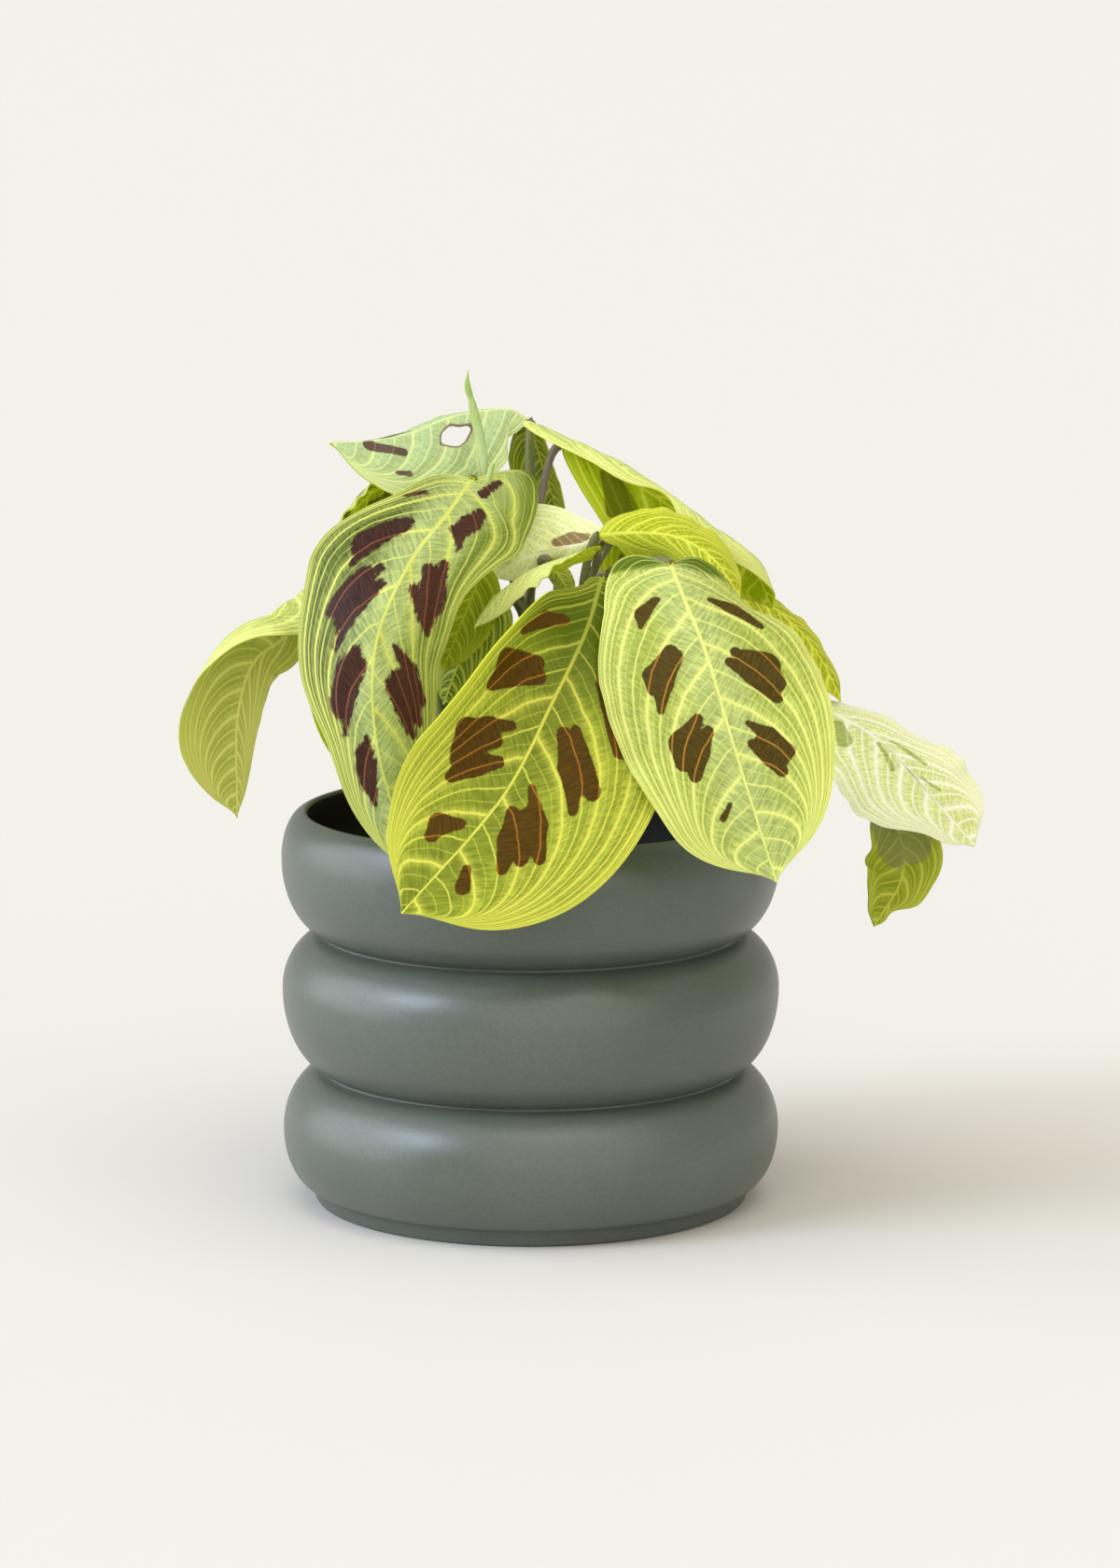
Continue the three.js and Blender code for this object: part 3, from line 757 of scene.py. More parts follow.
    @staticmethod
    def to_blotch(fingers: Sequence[Sequence[float]], x: np.ndarray, y: np.ndarray) -> np.ndarray:
        """Measure the distance to the nearest blotch.

        Args:
            fingers: The blotches' fingers.
            x: mm from the midrib.
            y: mm from the base.

        Returns:
            mm, below 0 inside a blotch and FAR at most.
        """
        near = np.full(x.shape, FAR)
        for x0, y0, r0, x1, y1, r1 in fingers:
            dx, dy = x1 - x0, y1 - y0
            t = np.clip(((x - x0) * dx + (y - y0) * dy) / (dx * dx + dy * dy), 0, 1)
            far = np.hypot(x - x0 - t * dx, y - y0 - t * dy) - (r0 + (r1 - r0) * t)
            near = -np.logaddexp(-near / SOFT, -far / SOFT) * SOFT
        return near

    def build(self, dress: Mapping[Tone, Material], body: Tree) -> Object:
        """Make the blade.

        Args:
            dress: The materials of the leaf faces.
            body: The tree that gives a sheet its thickness.

        Returns:
            The finished piece.
        """
        rib = Centreline(self.rib)
        rows = self.fine
        half_columns = max(8, round(rows * 0.3))
        t = np.linspace(0, 1, rows + 1)[:, None]
        v = np.linspace(-1, 1, 2 * half_columns + 1)[None, :]
        x, y, u = (np.zeros((rows + 1, 2 * half_columns + 1)) for _ in range(3))
        for half, side in ((self.left, v[0] < 0), (self.right, v[0] >= 0)):
            along, across = self.margin(half, t)
            start = np.maximum(along, self.notch * t)
            share = np.abs(v[:, side])
            x[:, side] = v[:, side] * across
            y[:, side] = (start * (1 - share) + along * share) * rib.length
            u[:, side] = np.repeat(start, side.sum(), 1)
        grid = np.broadcast_to(np.abs(v), x.shape)
        s = self.vein_start(u, grid)
        count = self.veins * s + BASE_VEINS * (1 - np.exp(-s / BASE_SPAN)) + np.where(x < 0, 0, LATER)
        points = self.bent(x, y, rib)
        step_x = np.gradient(points, axis=1)
        step_y = np.gradient(points, axis=0)
        normal = np.cross(step_y, step_x)
        normal = normal / np.maximum(np.linalg.norm(normal, axis=-1, keepdims=True), 1e-9)
        gap = self.gaps(count, step_x, step_y, half_columns)
        # The tissue swells between the main veins, but not at the margin or beside the midrib.
        swell = -np.cos(2 * np.pi * count) * np.clip(gap / WIDE_GAP, 0, 1) * np.clip((1 - grid) * 6, 0, 1)
        points = points + normal * (swell * self.pleat * np.clip(np.abs(x) / 3, 0, 1))[..., None]
        on_left, on_right = self.to_blotch(self.left.fingers, -x, y), self.to_blotch(self.right.fingers, x, y)
        marks = {
            Mark.VEIN: count,
            Mark.GAP: gap,
            Mark.ALONG: self.along_vein(x, y, s, rib.length),
            Mark.RIB: x,
            Mark.SHARE: np.minimum(y / rib.length, 1),
            Mark.BLOTCH: np.where(x < 0, on_left, on_right),
            Mark.TEAR: np.full(x.shape, FAR),
        }
        n = np.arange(points.shape[0] * points.shape[1]).reshape(points.shape[:2])
        faces = np.stack([n[:-1, :-1], n[1:, :-1], n[1:, 1:], n[:-1, 1:]], -1).reshape(-1, 4)
        if self.tear:
            marks[Mark.TEAR], faces = self.torn(points, x, faces)
        named = {mark.value: values for mark, values in marks.items()}
        made = new_mesh_object(f"leaf_{self.name}", points.reshape(-1, 3) * MM, faces, marks=named)
        grow(made, body, {"Upper": dress[self.upper], "Under": dress[self.under]})
        return place(made, "leaf", f"blade_{self.name}")

    def torn(self, points: np.ndarray, x: np.ndarray, faces: np.ndarray) -> tuple[np.ndarray, np.ndarray]:
        """Open the torn hole: leave out the faces inside it and draw the points beside it onto its outline.

        Args:
            points: The grid's points in mm; those beside the hole are moved.
            x: mm from the midrib.
            faces: The grid's faces.

        Returns:
            mm to the hole's edge at every point, and the faces that are left.
        """
        flat = points.reshape(-1, 3)
        at = flat[:, [0, 2]]
        outline = np.array(self.tear)
        after = np.roll(outline, -1, axis=0)
        line = after - outline
        share = ((at[:, None] - outline) * line).sum(-1) / (line * line).sum(-1)
        foot = outline + np.clip(share, 0, 1)[..., None] * line
        away = np.linalg.norm(at[:, None] - foot, axis=-1)
        nearest = away.argmin(1)
        distance = away.min(1)
        cross = (outline[:, 1] > at[:, None, 1]) != (after[:, 1] > at[:, None, 1])
        rise = np.where(np.abs(line[:, 1]) < 1e-9, 1e-9, line[:, 1])
        beyond = at[:, None, 0] < outline[:, 0] + (at[:, None, 1] - outline[:, 1]) * line[:, 0] / rise
        inside = ((cross & beyond).sum(1) % 2 == 1) & (x.ravel() > 0)
        gone = inside[faces].all(1)
        kept = faces[~gone]
        rim = np.intersect1d(np.unique(faces[gone]), np.unique(kept))
        rim = np.union1d(rim, np.nonzero(inside & np.isin(np.arange(len(flat)), kept))[0])
        flat[rim[:, None], [0, 2]] = foot[rim, nearest[rim]]
        distance[rim] = 0
        distance[x.ravel() < 0] = FAR
        return distance.reshape(x.shape), kept

    @staticmethod
    def gaps(count: np.ndarray, step_x: np.ndarray, step_y: np.ndarray, middle: int) -> np.ndarray:
        """Measure the room between main veins.

        Args:
            count: The vein count on the grid.
            step_x: The step in mm between the grid's columns.
            step_y: The step in mm between its rows.
            middle: The column of the midrib.

        Returns:
            mm between two main veins, at every point of the grid.
        """
        across = np.empty_like(count)
        across[:, :middle] = np.gradient(count[:, :middle], axis=1)
        across[:, middle:] = np.gradient(count[:, middle:], axis=1)
        down = np.gradient(count, axis=0)
        a, b, c = (step_x * step_x).sum(-1), (step_x * step_y).sum(-1), (step_y * step_y).sum(-1)
        area = np.maximum(a * c - b * b, 1e-9)
        steep = np.sqrt(np.maximum((c * across**2 - 2 * b * across * down + a * down**2) / area, 1e-9))
        return np.clip(1 / steep, 0.2, 30)

    @staticmethod
    def along_vein(x: np.ndarray, y: np.ndarray, s: np.ndarray, length: float) -> np.ndarray:
        """Measure along the veins, so that lines of equal value cross them squarely.

        Args:
            x: mm from the midrib.
            y: mm from the base.
            s: Where the vein leaves the midrib.
            length: The blade's length in mm.

        Returns:
            mm.
        """
        run = np.hypot(x, y - s * length)
        return run + 0.7 * s * length


def blade_body() -> Tree:
    """Build the tree that turns a blade's sheet into a thin closed body with a midrib below.

    Returns:
        The tree. It takes the sheet with its marks, and its inputs are sizes in metres and two materials.
    """
    tree, start = new_tree(
        "Blade body",
        {"Thickness": 0.45 * MM, "Rib Height": 0.9 * MM, "Rib Width": 1.5, "Upper": None, "Under": None},
    )
    add = partial(add_node, tree)
    normal = add("GeometryNodeInputNormal")
    kept = add("GeometryNodeCaptureAttribute", {0: start.outputs[0]}, domain="POINT")
    kept.capture_items.new("VECTOR", "Facing")
    tree.links.new(normal.outputs[0], kept.inputs[1])
    beside = add("GeometryNodeInputNamedAttribute", {"Name": Mark.RIB.value}, data_type="FLOAT")
    share = add("GeometryNodeInputNamedAttribute", {"Name": Mark.SHARE.value}, data_type="FLOAT")
    # Midrib: a rounded ridge that fades towards the tip.
    near = add("ShaderNodeMath", {0: beside, 1: start.outputs["Rib Width"]}, operation="DIVIDE")
    near = add("ShaderNodeMath", {0: near, 1: near}, operation="MULTIPLY")
    near = add("ShaderNodeMath", {0: near, 1: -1.0}, operation="MULTIPLY")
    near = add("ShaderNodeMath", {0: near}, operation="EXPONENT")
    fade = add("ShaderNodeMath", {0: share, 1: -0.85, 2: 1.0}, operation="MULTIPLY_ADD")
    ridge = add("ShaderNodeMath", {0: near, 1: fade}, operation="MULTIPLY")
    ridge = add("ShaderNodeMath", {0: ridge, 1: start.outputs["Rib Height"]}, operation="MULTIPLY")
    depth = add("ShaderNodeMath", {0: ridge, 1: start.outputs["Thickness"]}, operation="ADD")
    lower = add("ShaderNodeMath", {0: start.outputs["Thickness"], 1: 0.5, 2: ridge}, operation="MULTIPLY_ADD")
    lower = add("ShaderNodeMath", {0: lower, 1: -1.0}, operation="MULTIPLY")
    down = add("ShaderNodeVectorMath", {0: kept.outputs[1], "Scale": lower}, operation="SCALE")
    up = add("ShaderNodeVectorMath", {0: kept.outputs[1], "Scale": depth}, operation="SCALE")
    sheet = add("GeometryNodeSetPosition", {0: kept, "Offset": down})
    shell = add(
        "GeometryNodeExtrudeMesh",
        {0: sheet, "Offset": up, "Offset Scale": 1.0, "Individual": False},
        mode="FACES",
    )
    shell_under = add("GeometryNodeSetMaterial", {0: shell, "Material": start.outputs["Under"]})
    shell_both = add(
        "GeometryNodeSetMaterial",
        {0: shell_under, "Selection": shell.outputs["Top"], "Material": start.outputs["Upper"]},
    )
    floor = add("GeometryNodeFlipFaces", {0: sheet})
    floor = add("GeometryNodeSetMaterial", {0: floor, "Material": start.outputs["Under"]})
    joined = add("GeometryNodeJoinGeometry")
    tree.links.new(floor.outputs[0], joined.inputs[0])
    tree.links.new(shell_both.outputs[0], joined.inputs[0])
    whole = add("GeometryNodeMergeByDistance", {0: joined, "Distance": 1e-6})
    whole = add("GeometryNodeSetShadeSmooth", {0: whole, "Shade Smooth": True}, domain="FACE")
    turn = add("GeometryNodeInputMeshEdgeAngle")
    sharp = add("FunctionNodeCompare", {0: turn, 1: SHARP}, operation="GREATER_THAN")
    whole = add(
        "GeometryNodeSetShadeSmooth", {0: whole, "Selection": sharp, "Shade Smooth": False}, domain="EDGE"
    )
    end_tree(tree, whole)
    return tree


def paired(length: float, width: float, shift: float = 0.0) -> tuple[tuple[float, ...], ...]:
    """Lay out the blotches of a half that has no pattern of its own: four, each of two fingers.

    Args:
        length: The blade's length in mm.
        width: The half's width in mm.
        shift: How far the blotches move towards the tip, as a share of the length.

    Returns:
        The fingers.
    """
    fingers = []
    for place_at, size in ((0.16, 0.8), (0.34, 1.0), (0.52, 1.0), (0.7, 0.7)):
        y = (place_at + shift) * length
        x, r = 0.24 * width * size, 0.055 * width + 0.3
        fingers.append((x + 1, y, r * 0.9, x + 0.33 * width * size, y + 0.1 * length * size, r * 1.5))
        fingers.append((x, y + 2.6 * r, r, x + 0.2 * width * size, y + 0.14 * length * size, r * 1.2))
    return tuple(fingers)


def plain_leaf(
    name: str,
    rib: tuple[Point, ...],
    face: tuple[Point, Point],
    widths: tuple[float, float],
    length: float,
    start: float,
    upper: Tone,
    notch: float = 0.12,
) -> Blade:
    """Describe a leaf at the back, with the general form and layout of blotches.

    Args:
        name: The end of its CAD node's name.
        rib: The midrib from the blade's base to its tip, in mm.
        face: The way that its upper face looks, at the base and at the tip.
        widths: From the midrib to the margin, left and right, in mm.
        length: The blade's length in mm, for its blotches.
        start: Where the margin's waves start.
        upper: Finish of the upper face.
        notch: How fast the rows of the blade leave its base.

    Returns:
        The blade.
    """
    left, right = (
        Half(width, (5, 5, 30, 20), fingers=paired(length, width, shift))
        for width, shift in zip(widths, (0.0, 0.05), strict=True)
    )
    return Blade(name, rib, face, left, right, (1.0, 3, start), upper, notch=notch)


# The plant's blades, those at the front first.
LEAVES: tuple[Blade, ...] = (
    Blade(
        "left_front",
        (
            (-18, -22, 232), (-25, -44, 224), (-36, -60, 211), (-46, -72, 188), (-46, -79, 160),
            (-34, -80, 117),
        ),
        ((0.3, -0.55, 0.8), (0, -1, 0.1)),
        Half(
            32, (6, 20, 30, 80), 0.0, 1.7, ((0.02, -6), (0.14, -9), (0.33, 9), (0.7, -6)),
            fingers=(
                (10.5, 17, 1.0, 15, 21, 1.0), (8.5, 34.5, 2.0, 20, 45.5, 1.8),
                (8.5, 37, 2.0, 17.5, 54, 1.3), (12, 38.5, 2.4, 18, 48, 2.6),
                (7.5, 53, 1.3, 17.5, 68.5, 2.2), (11, 57, 3.0, 15.5, 66, 3.4),
                (8.5, 60, 2.4, 12.5, 71, 3.0), (4.8, 58, 1.3, 12.5, 78, 1.2), (10.5, 66, 2.6, 12, 70, 2.4),
                (5.5, 78.5, 1.2, 12.5, 93, 1.4), (3, 82.5, 1.3, 9.5, 102.5, 0.9), (6, 82, 2.6, 10, 95, 3.2),
                (8.5, 84, 3.0, 9, 93, 3.4), (2.7, 104.5, 0.8, 4.6, 113, 2.9), (4.6, 113, 2.9, 5, 124, 0.7),
                (4.6, 109, 2.4, 5.4, 118, 2.6),
            ),
        ),
        Half(
            32, (4, 22, 28, 50), 0.16, 1.7, ((0.05, 1), (0.2, -8), (0.34, -9), (0.5, -5)),
            fingers=(
                (7.5, -8, 1.0, 5.5, 5, 1.6), (8.5, 13.5, 1.6, 7.5, 22, 2.8), (7.5, 22, 2.8, 6, 28, 2.6),
                (8.2, 30, 1.2, 9.4, 33.5, 0.6), (9, 41, 1.6, 14.5, 56, 1.6), (6, 47, 2.0, 11, 52, 4.0),
                (5.5, 55, 2.0, 15, 66, 1.2), (8, 47, 3.0, 12, 58, 3.4), (10, 56, 3.4, 13, 61, 2.6),
                (6, 75.5, 1.0, 12.5, 82, 2.4), (12.5, 82, 2.4, 18, 94, 1.4), (6, 88.5, 2.0, 13, 106, 1.4),
                (14, 88, 3.0, 16, 102, 1.3), (8.5, 86, 3.0, 12.5, 98, 3.4),
            ),
        ),
        (1.0, 3, 0), Tone.GREY, fine=170,
    ),
    Blade(
        "upper_left",
        (
            (-1, 8, 248), (-6, 7, 251), (-14, 5, 251), (-26, 0, 249), (-37, -6, 245), (-49, -12, 243),
            (-62, -18, 243),
        ),
        ((0, -0.3, 0.95), (0, -0.3, 0.95)),
        Half(22, (24, 24, 5, 5), 0.0, 1.0, fingers=((4, 22, 1.5, 9, 30, 2.0), (4, 40, 1.6, 9, 47, 2.2))),
        Half(
            26, (40, 30, 20, 10), 0.0, 1.0,
            fingers=((6, 46, 1.2, 1.5, 56, 1.6), (13.5, 47, 0.7, 12.5, 50, 0.6)),
        ),
        (1.0, 3, 0.3), Tone.SILVER, fine=130, veins=5.2,
        tear=(
            (-27.9, 244.1), (-26.5, 245.8), (-25.0, 246.9), (-22.4, 246.5), (-18.7, 246.8), (-18.4, 245.3),
            (-20.1, 242.3), (-22.2, 240.6), (-24.5, 240.6), (-27.9, 241.4),
        ),
    ),
    Blade(
        "front",
        ((22, -50, 205), (17, -70, 191), (7, -86, 172), (-7, -94, 146), (-38, -97, 110)),
        ((0.1, -0.8, 0.4), (0, -1, 0.2)),
        Half(
            34, (0, 0, -150, 10), 0.0, 0.88, ((0.08, -7), (0.24, -2)),
            fingers=(
                (7.8, 24.8, 1.6, 14, 30, 2.2), (14, 30, 2.2, 21, 40, 1.0), (9.5, 43.2, 2.0, 22, 50, 3.0),
                (7, 47, 2.0, 21, 56, 2.2), (12, 47, 2.2, 20, 53, 3.0), (8, 63.7, 1.2, 15, 67, 2.4),
                (15, 67, 2.4, 22, 71, 2.6), (22, 71, 2.6, 17, 82, 3.2), (18.5, 73, 3.6, 18.5, 78, 3.6),
                (10.5, 70.3, 2.0, 17, 75, 3.0), (6.8, 75.8, 1.9, 13, 80.5, 4.0),
                (13, 80.5, 4.0, 16.2, 88.5, 1.8), (5, 98.5, 1.6, 9.5, 102.5, 2.8),
                (9.5, 102.5, 2.8, 9, 107, 1.8),
            ),
        ),
        Half(
            42, (0, 0, 20, 10), 0.05, 0.88,
            fingers=(
                (11.5, 39, 2.6, 24.8, 56, 2.6), (6.7, 59, 1.7, 13, 67, 3.2), (13, 67, 3.2, 20, 77, 1.2),
                (13.5, 63, 2.6, 18, 69, 3.2), (9.7, 56.3, 1.2, 22.5, 70.5, 2.2),
                (5.7, 77.3, 0.9, 13.5, 85, 2.4), (13.5, 85, 2.4, 20, 91.5, 1.5), (5, 86, 1.6, 9.5, 93, 3.0),
                (9.5, 93, 3.0, 13.3, 100.2, 1.6), (13, 89, 3.0, 16, 95, 1.6),
                (9.5, 84.5, 2.4, 13.5, 93, 2.6), (5.6, 107.3, 1.2, 8.3, 112, 2.2),
            ),
        ),
        (1.0, 3, 0), Tone.BRIGHT, fine=160,
    ),
    Blade(
        "right_front",
        ((43, -50, 209), (47, -68, 200), (53, -80, 186), (61, -90, 160), (74, -94, 119)),
        ((0.1, -0.7, 0.7), (0, -1, 0.1)),
        Half(
            34, (0, 0, 20, 10), 0.09, trim=((0.15, -3.0), (0.86, 3.5)),
            fingers=(
                (8.4, 17.8, 1.2, 13.6, 21.5, 2.0), (13.6, 21.5, 2.0, 15.6, 25.5, 0.6),
                (10, 36, 1.9, 17.5, 42, 2.4), (17.5, 42, 2.4, 18.3, 46.5, 1.8),
                (8.4, 38.6, 1.5, 15.5, 46.5, 2.6), (13, 40.5, 2.2, 16.5, 45, 2.6),
                (15.5, 46.5, 2.6, 18, 53.8, 1.0), (8.2, 59.2, 1.5, 14.8, 64.5, 3.2),
                (14.8, 64.5, 3.2, 15.8, 70, 2.4), (6, 63.4, 1.5, 10.5, 68.5, 2.8),
                (12.5, 66, 3.0, 12.5, 70, 2.6), (10.5, 68.5, 2.8, 13.6, 74.8, 1.8),
                (6.3, 86, 0.5, 9.4, 89.3, 0.9),
            ),
        ),
        Half(
            36, (12, 0, 45, 0), 0.09, trim=((0.15, -3.0), (0.86, 1.5)),
            fingers=(
                (8.7, 19.6, 1.1, 14.5, 23.5, 2.6), (14.5, 23.5, 2.6, 21.5, 33.2, 1.0),
                (12.5, 42.5, 1.2, 19.2, 46.5, 3.4), (9.2, 41.3, 1.4, 19, 53.5, 2.8),
                (13, 46, 2.6, 18.5, 52, 3.0), (6.3, 44.4, 1.4, 11.5, 50, 2.2),
                (11.5, 50, 2.2, 17.4, 58.3, 1.9), (6.2, 64.2, 0.8, 11.5, 69.5, 2.1),
                (11.5, 69.5, 2.1, 16.2, 76, 1.5), (5.6, 70.6, 1.3, 9.5, 76, 2.2),
                (9.5, 76, 2.2, 11.8, 81.3, 1.6), (9.5, 70.5, 2.2, 13.5, 77, 2.2),
            ),
        ),
        (0.8, 3, 0), Tone.PALE, fine=150,
    ),
    Blade(
        "centre",
        ((25.5, -18, 214.5), (15, -16, 211), (5, -15, 209), (-4, -17, 205.5), (-11, -20, 201)),
        ((0.1, -0.85, 0.5), (-0.1, -0.9, 0.4)),
        Half(
            17, (0, 0, 10, 10), 0.0, 0.6, fingers=((1.8, 8, 0.9, 2.2, 13, 2.0), (2.2, 13, 2.0, 2, 18, 1.3)),
        ),
        Half(8, (20, 10, 100, 60), 0.0, 1.0, fingers=((1.2, 2, 0.6, 3, 7, 0.8),)),
        (0.8, 2, 0.2), Tone.CREAM, fine=80,
    ),
    Blade(
        "upper_right",
        (
            (10, 0, 240), (21, -2, 235.5), (30, -4, 231), (42, -6, 223.5), (57, -8, 213), (69, -9, 204.5),
            (76, -8, 190),
        ),
        ((-0.1, 1, 0.3), (0.5, 0.7, 0.4)),
        Half(18, (4, 0, 190, 170), 0.2, 1.0, trim=((0.03, 3), (0.25, -1), (0.42, -8))),
        Half(
            24, (0, 0, 30, 30), 0.0, 0.72, fingers=((2.5, 16, 1.6, 11, 24, 3.0), (3, 21, 1.6, 10, 30, 2.6)),
        ),
        (0.8, 3, 0), Tone.LIGHT, fine=120,
    ),
    Blade(
        "right_mid",
        ((21.5, -20, 214.5), (34, -26, 216), (46, -31, 215), (56.5, -37, 209), (64.5, -42, 198)),
        ((0.2, -0.8, 0.6), (0.6, -0.5, 0.6)),
        Half(8, (40, 40, 60, 60), 0.0, 0.9), Half(13, (0, 0, 20, 30), 0.0, 1.1), (0.8, 3, 0), Tone.VIVID,
        fine=80,
    ),
    Blade(
        "left_far",
        ((-68, -8, 189), (-78, -14, 181), (-86, -18, 175), (-91, -20, 160), (-92, -16, 125)),
        ((-0.2, 1, 0.2), (-0.3, 1, 0.1)),
        Half(9, (0, 0, 20, 20), 0.0, 2.0), Half(29, (0, 0, 160, 0), 0.15, 2.0, ((0.1, 8), (0.3, 4))),
        (0.8, 3, 0), Tone.LIGHT, Tone.OLIVE, veins=9.0, fine=130,
    ),
    Blade(
        "right_far",
        ((86, 2, 160), (104, -8, 152), (113, -14, 146), (123, -19, 135), (139, -22, 117)),
        ((0.25, -0.25, 0.9), (0.4, -0.9, 0.5)),
        Half(
            23, (0, 0, 20, 90), 0.0, 1.1, ((0.15, 6), (0.82, -5)),
            ((4, 16, 1.5, 9, 22, 2.6), (1.5, 30, 0.3, 5, 40, 0.7)),
        ),
        Half(
            21, (0, 0, 10, 10), 0.0, 0.6, ((0.06, 5), (0.45, -4)),
            ((3, 32, 0.3, 7, 44, 0.6), (2, 47, 0.2, 4, 54, 0.4)),
        ),
        (1.2, 3, 0), Tone.IVORY, fine=120,
    ),
    Blade(
        "right_low",
        ((113, 12, 123), (118, 8, 114), (118, 4, 102), (109, 0, 87)),
        ((0.2, 0.9, 0.3), (0, 1, 0.1)),
        # One large blotch on each half darkens the leaf's upper part: partly a blotch seen through the leaf
        # and partly painted shadow of the leaf in front.
        Half(13, (0, 0, 20, 20), belly=1.3, trim=((0.6, -2), (0.82, -5)), fingers=((1, 2, 6, 3, 12, 7),)),
        Half(15, (0, 0, 60, 60), belly=0.8, trim=((0.3, -2), (0.85, -3.5)), fingers=((1, 2, 6, 2, 15, 6),)),
        (0.8, 2, 0), Tone.DEEP_AND_SHADED, Tone.MOSS, notch=0.12, fine=80, veins=4.3,
    ),
    Blade(
        "right_back",
        ((50, 9, 196), (67, 8, 194), (84, 6, 182), (93, 4, 170), (98, 2, 159)),
        ((0.3, -0.5, 0.8), (0.6, -0.5, 0.6)),
        Half(12, SOFT_BEND), Half(14, SOFT_BEND), (0.8, 3, 0), Tone.VIVID, Tone.VIVID, notch=0.12, fine=80,
    ),
    Blade(
        "inner_left",
        ((-15, -24, 206), (-18, -27, 197), (-22, -30, 187), (-27, -32, 174)),
        ((-0.3, 0.9, 0.3), (-0.3, 0.9, 0.1)),
        Half(10, DEEP_BEND, 0.0), Half(10, DEEP_BEND, 0.0), (0.6, 3, 0), Tone.DEEP_AND_SHADED, notch=0.096, fine=60,
    ),
    Blade(
        "inner_front",
        ((20, -30, 211), (12, -30, 209), (1, -33, 205.5), (-8, -37, 199), (-17, -39, 188)),
        ((0.1, 0.6, 0.8), (-0.6, -0.8, 0.4)),
        Half(5, DEEP_BEND), Half(7, SOFT_BEND), (0.6, 3, 0), Tone.LIGHT, notch=0.096, fine=60,
    ),
    Blade(
        "inner_dark",
        ((-8, -16, 193), (-14, -19, 187), (-21, -22, 177), (-27, -24, 162)),
        ((-0.2, -0.8, 0.5), (-0.3, -0.9, 0.2)),
        Half(10, SOFT_BEND, 0.0), Half(10, SOFT_BEND, 0.0), (0.6, 3, 0.1), Tone.DEEP_AND_SHADED, notch=0.096, fine=60,
    ),
    Blade(
        "inner_small",
        ((6, -19, 206), (9, -20, 202), (13, -19, 195)),
        ((-0.2, -0.8, 0.5), (-0.3, -0.9, 0.2)),
        Half(4, (10, 10, 60, 30)), Half(4, (10, 10, 60, 30)), (0.3, 3, 0.1), Tone.DEEP_AND_SHADED, notch=0.096,
        fine=40,
    ),
    Blade(
        "behind_left",
        ((-36, 14, 230), (-50, 12, 225), (-60, 9, 212), (-62, 6, 198)),
        ((-0.3, 0.5, 0.6), (-0.8, 0.5, 0.2)),
        Half(16, DEEP_BEND, fingers=paired(45, 16)), Half(12, DEEP_BEND, fingers=paired(45, 12)), (0.6, 3, 0),
        Tone.PALE, notch=0.096, fine=70,
    ),
    Blade(
        "behind_middle",
        ((1, 12, 244), (3, 17, 236), (6, 20, 226), (10.5, 20, 213)),
        ((0.3, 0.7, 0.5), (0.4, 0.9, 0.2)),
        Half(6, DEEP_BEND), Half(11, DEEP_BEND), (0.4, 2, 0), Tone.PALE, Tone.DEEP_AND_SHADED, notch=0.096, fine=70,
        frill=0.2,
    ),
    plain_leaf(
        "back_high",
        ((22, 28, 210), (36, 40, 205), (50, 58, 190), (62, 74, 164)),
        ((0.1, 0.4, 0.9), (0.5, 0.8, 0.1)),
        (22, 22), 82, 0.4, Tone.PALE,
    ),
    plain_leaf(
        "back_right",
        ((42, 12, 178), (61, 28, 172), (76, 46, 150), (82, 57, 112)),
        ((0.3, 0.2, 0.9), (0.7, 0.7, 0.1)),
        (24, 24), 95, 0.1, Tone.BRIGHT,
    ),
    plain_leaf(
        "back_middle",
        ((-2, 36, 166), (-9, 60, 167), (-14, 84, 148), (-18, 98, 100)),
        ((0, 0.2, 0.9), (0, 1, 0.1)),
        (24, 24), 108, 0.7, Tone.GREY,
    ),
    plain_leaf(
        "back_inner",
        ((23, 34, 184), (29, 50, 180), (35, 68, 162), (40, 84, 122)),
        ((0.1, 0.2, 0.9), (0.3, 1, 0.1)),
        (20, 20), 86, 0.2, Tone.PALE,
    ),
    plain_leaf(
        "back_left",
        ((-36, 28, 192), (-47, 45, 190), (-56, 63, 164), (-58, 76, 122)),
        ((-0.1, 0.2, 0.9), (-0.3, 1, 0.1)),
        (22, 21), 97, 0.5, Tone.BRIGHT,
    ),
    plain_leaf(
        "back_low",
        ((-38, 20, 172), (-47, 33, 167), (-53, 46, 152), (-55, 52, 137)),
        ((-0.3, 0.2, 0.9), (-0.9, 0.5, 0.1)),
        (16, 16), 52, 0.3, Tone.GREY, notch=0.096,
    ),
)


# ---- Pot ----


def turned(profile: Sequence[tuple[float, float]], sides: int) -> tuple[np.ndarray, list[tuple[int, ...]]]:
    """Turn a profile around the pot's axis.

    Args:
        profile: Radius and height in mm, from the lower end up the outside.
        sides: Faces around.

    Returns:
        Points in mm and faces that look outwards. The two ends are closed by discs.
    """
    rings = np.array(profile, float)
    angle = np.linspace(0, 2 * np.pi, sides, endpoint=False)
    points = np.stack(
        [
            rings[:, None, 0] * np.cos(angle),
            rings[:, None, 0] * np.sin(angle),
            np.broadcast_to(rings[:, None, 1], (len(rings), sides)),
        ],
        -1,
    ).reshape(-1, 3)
    faces = []
    for i in range(len(rings) - 1):
        for j in range(sides):
            k = (j + 1) % sides
            faces.append((i * sides + j, i * sides + k, (i + 1) * sides + k, (i + 1) * sides + j))
    faces.append(tuple(range(sides - 1, -1, -1)))
    faces.append(tuple((len(rings) - 1) * sides + j for j in range(sides)))
    return points, faces


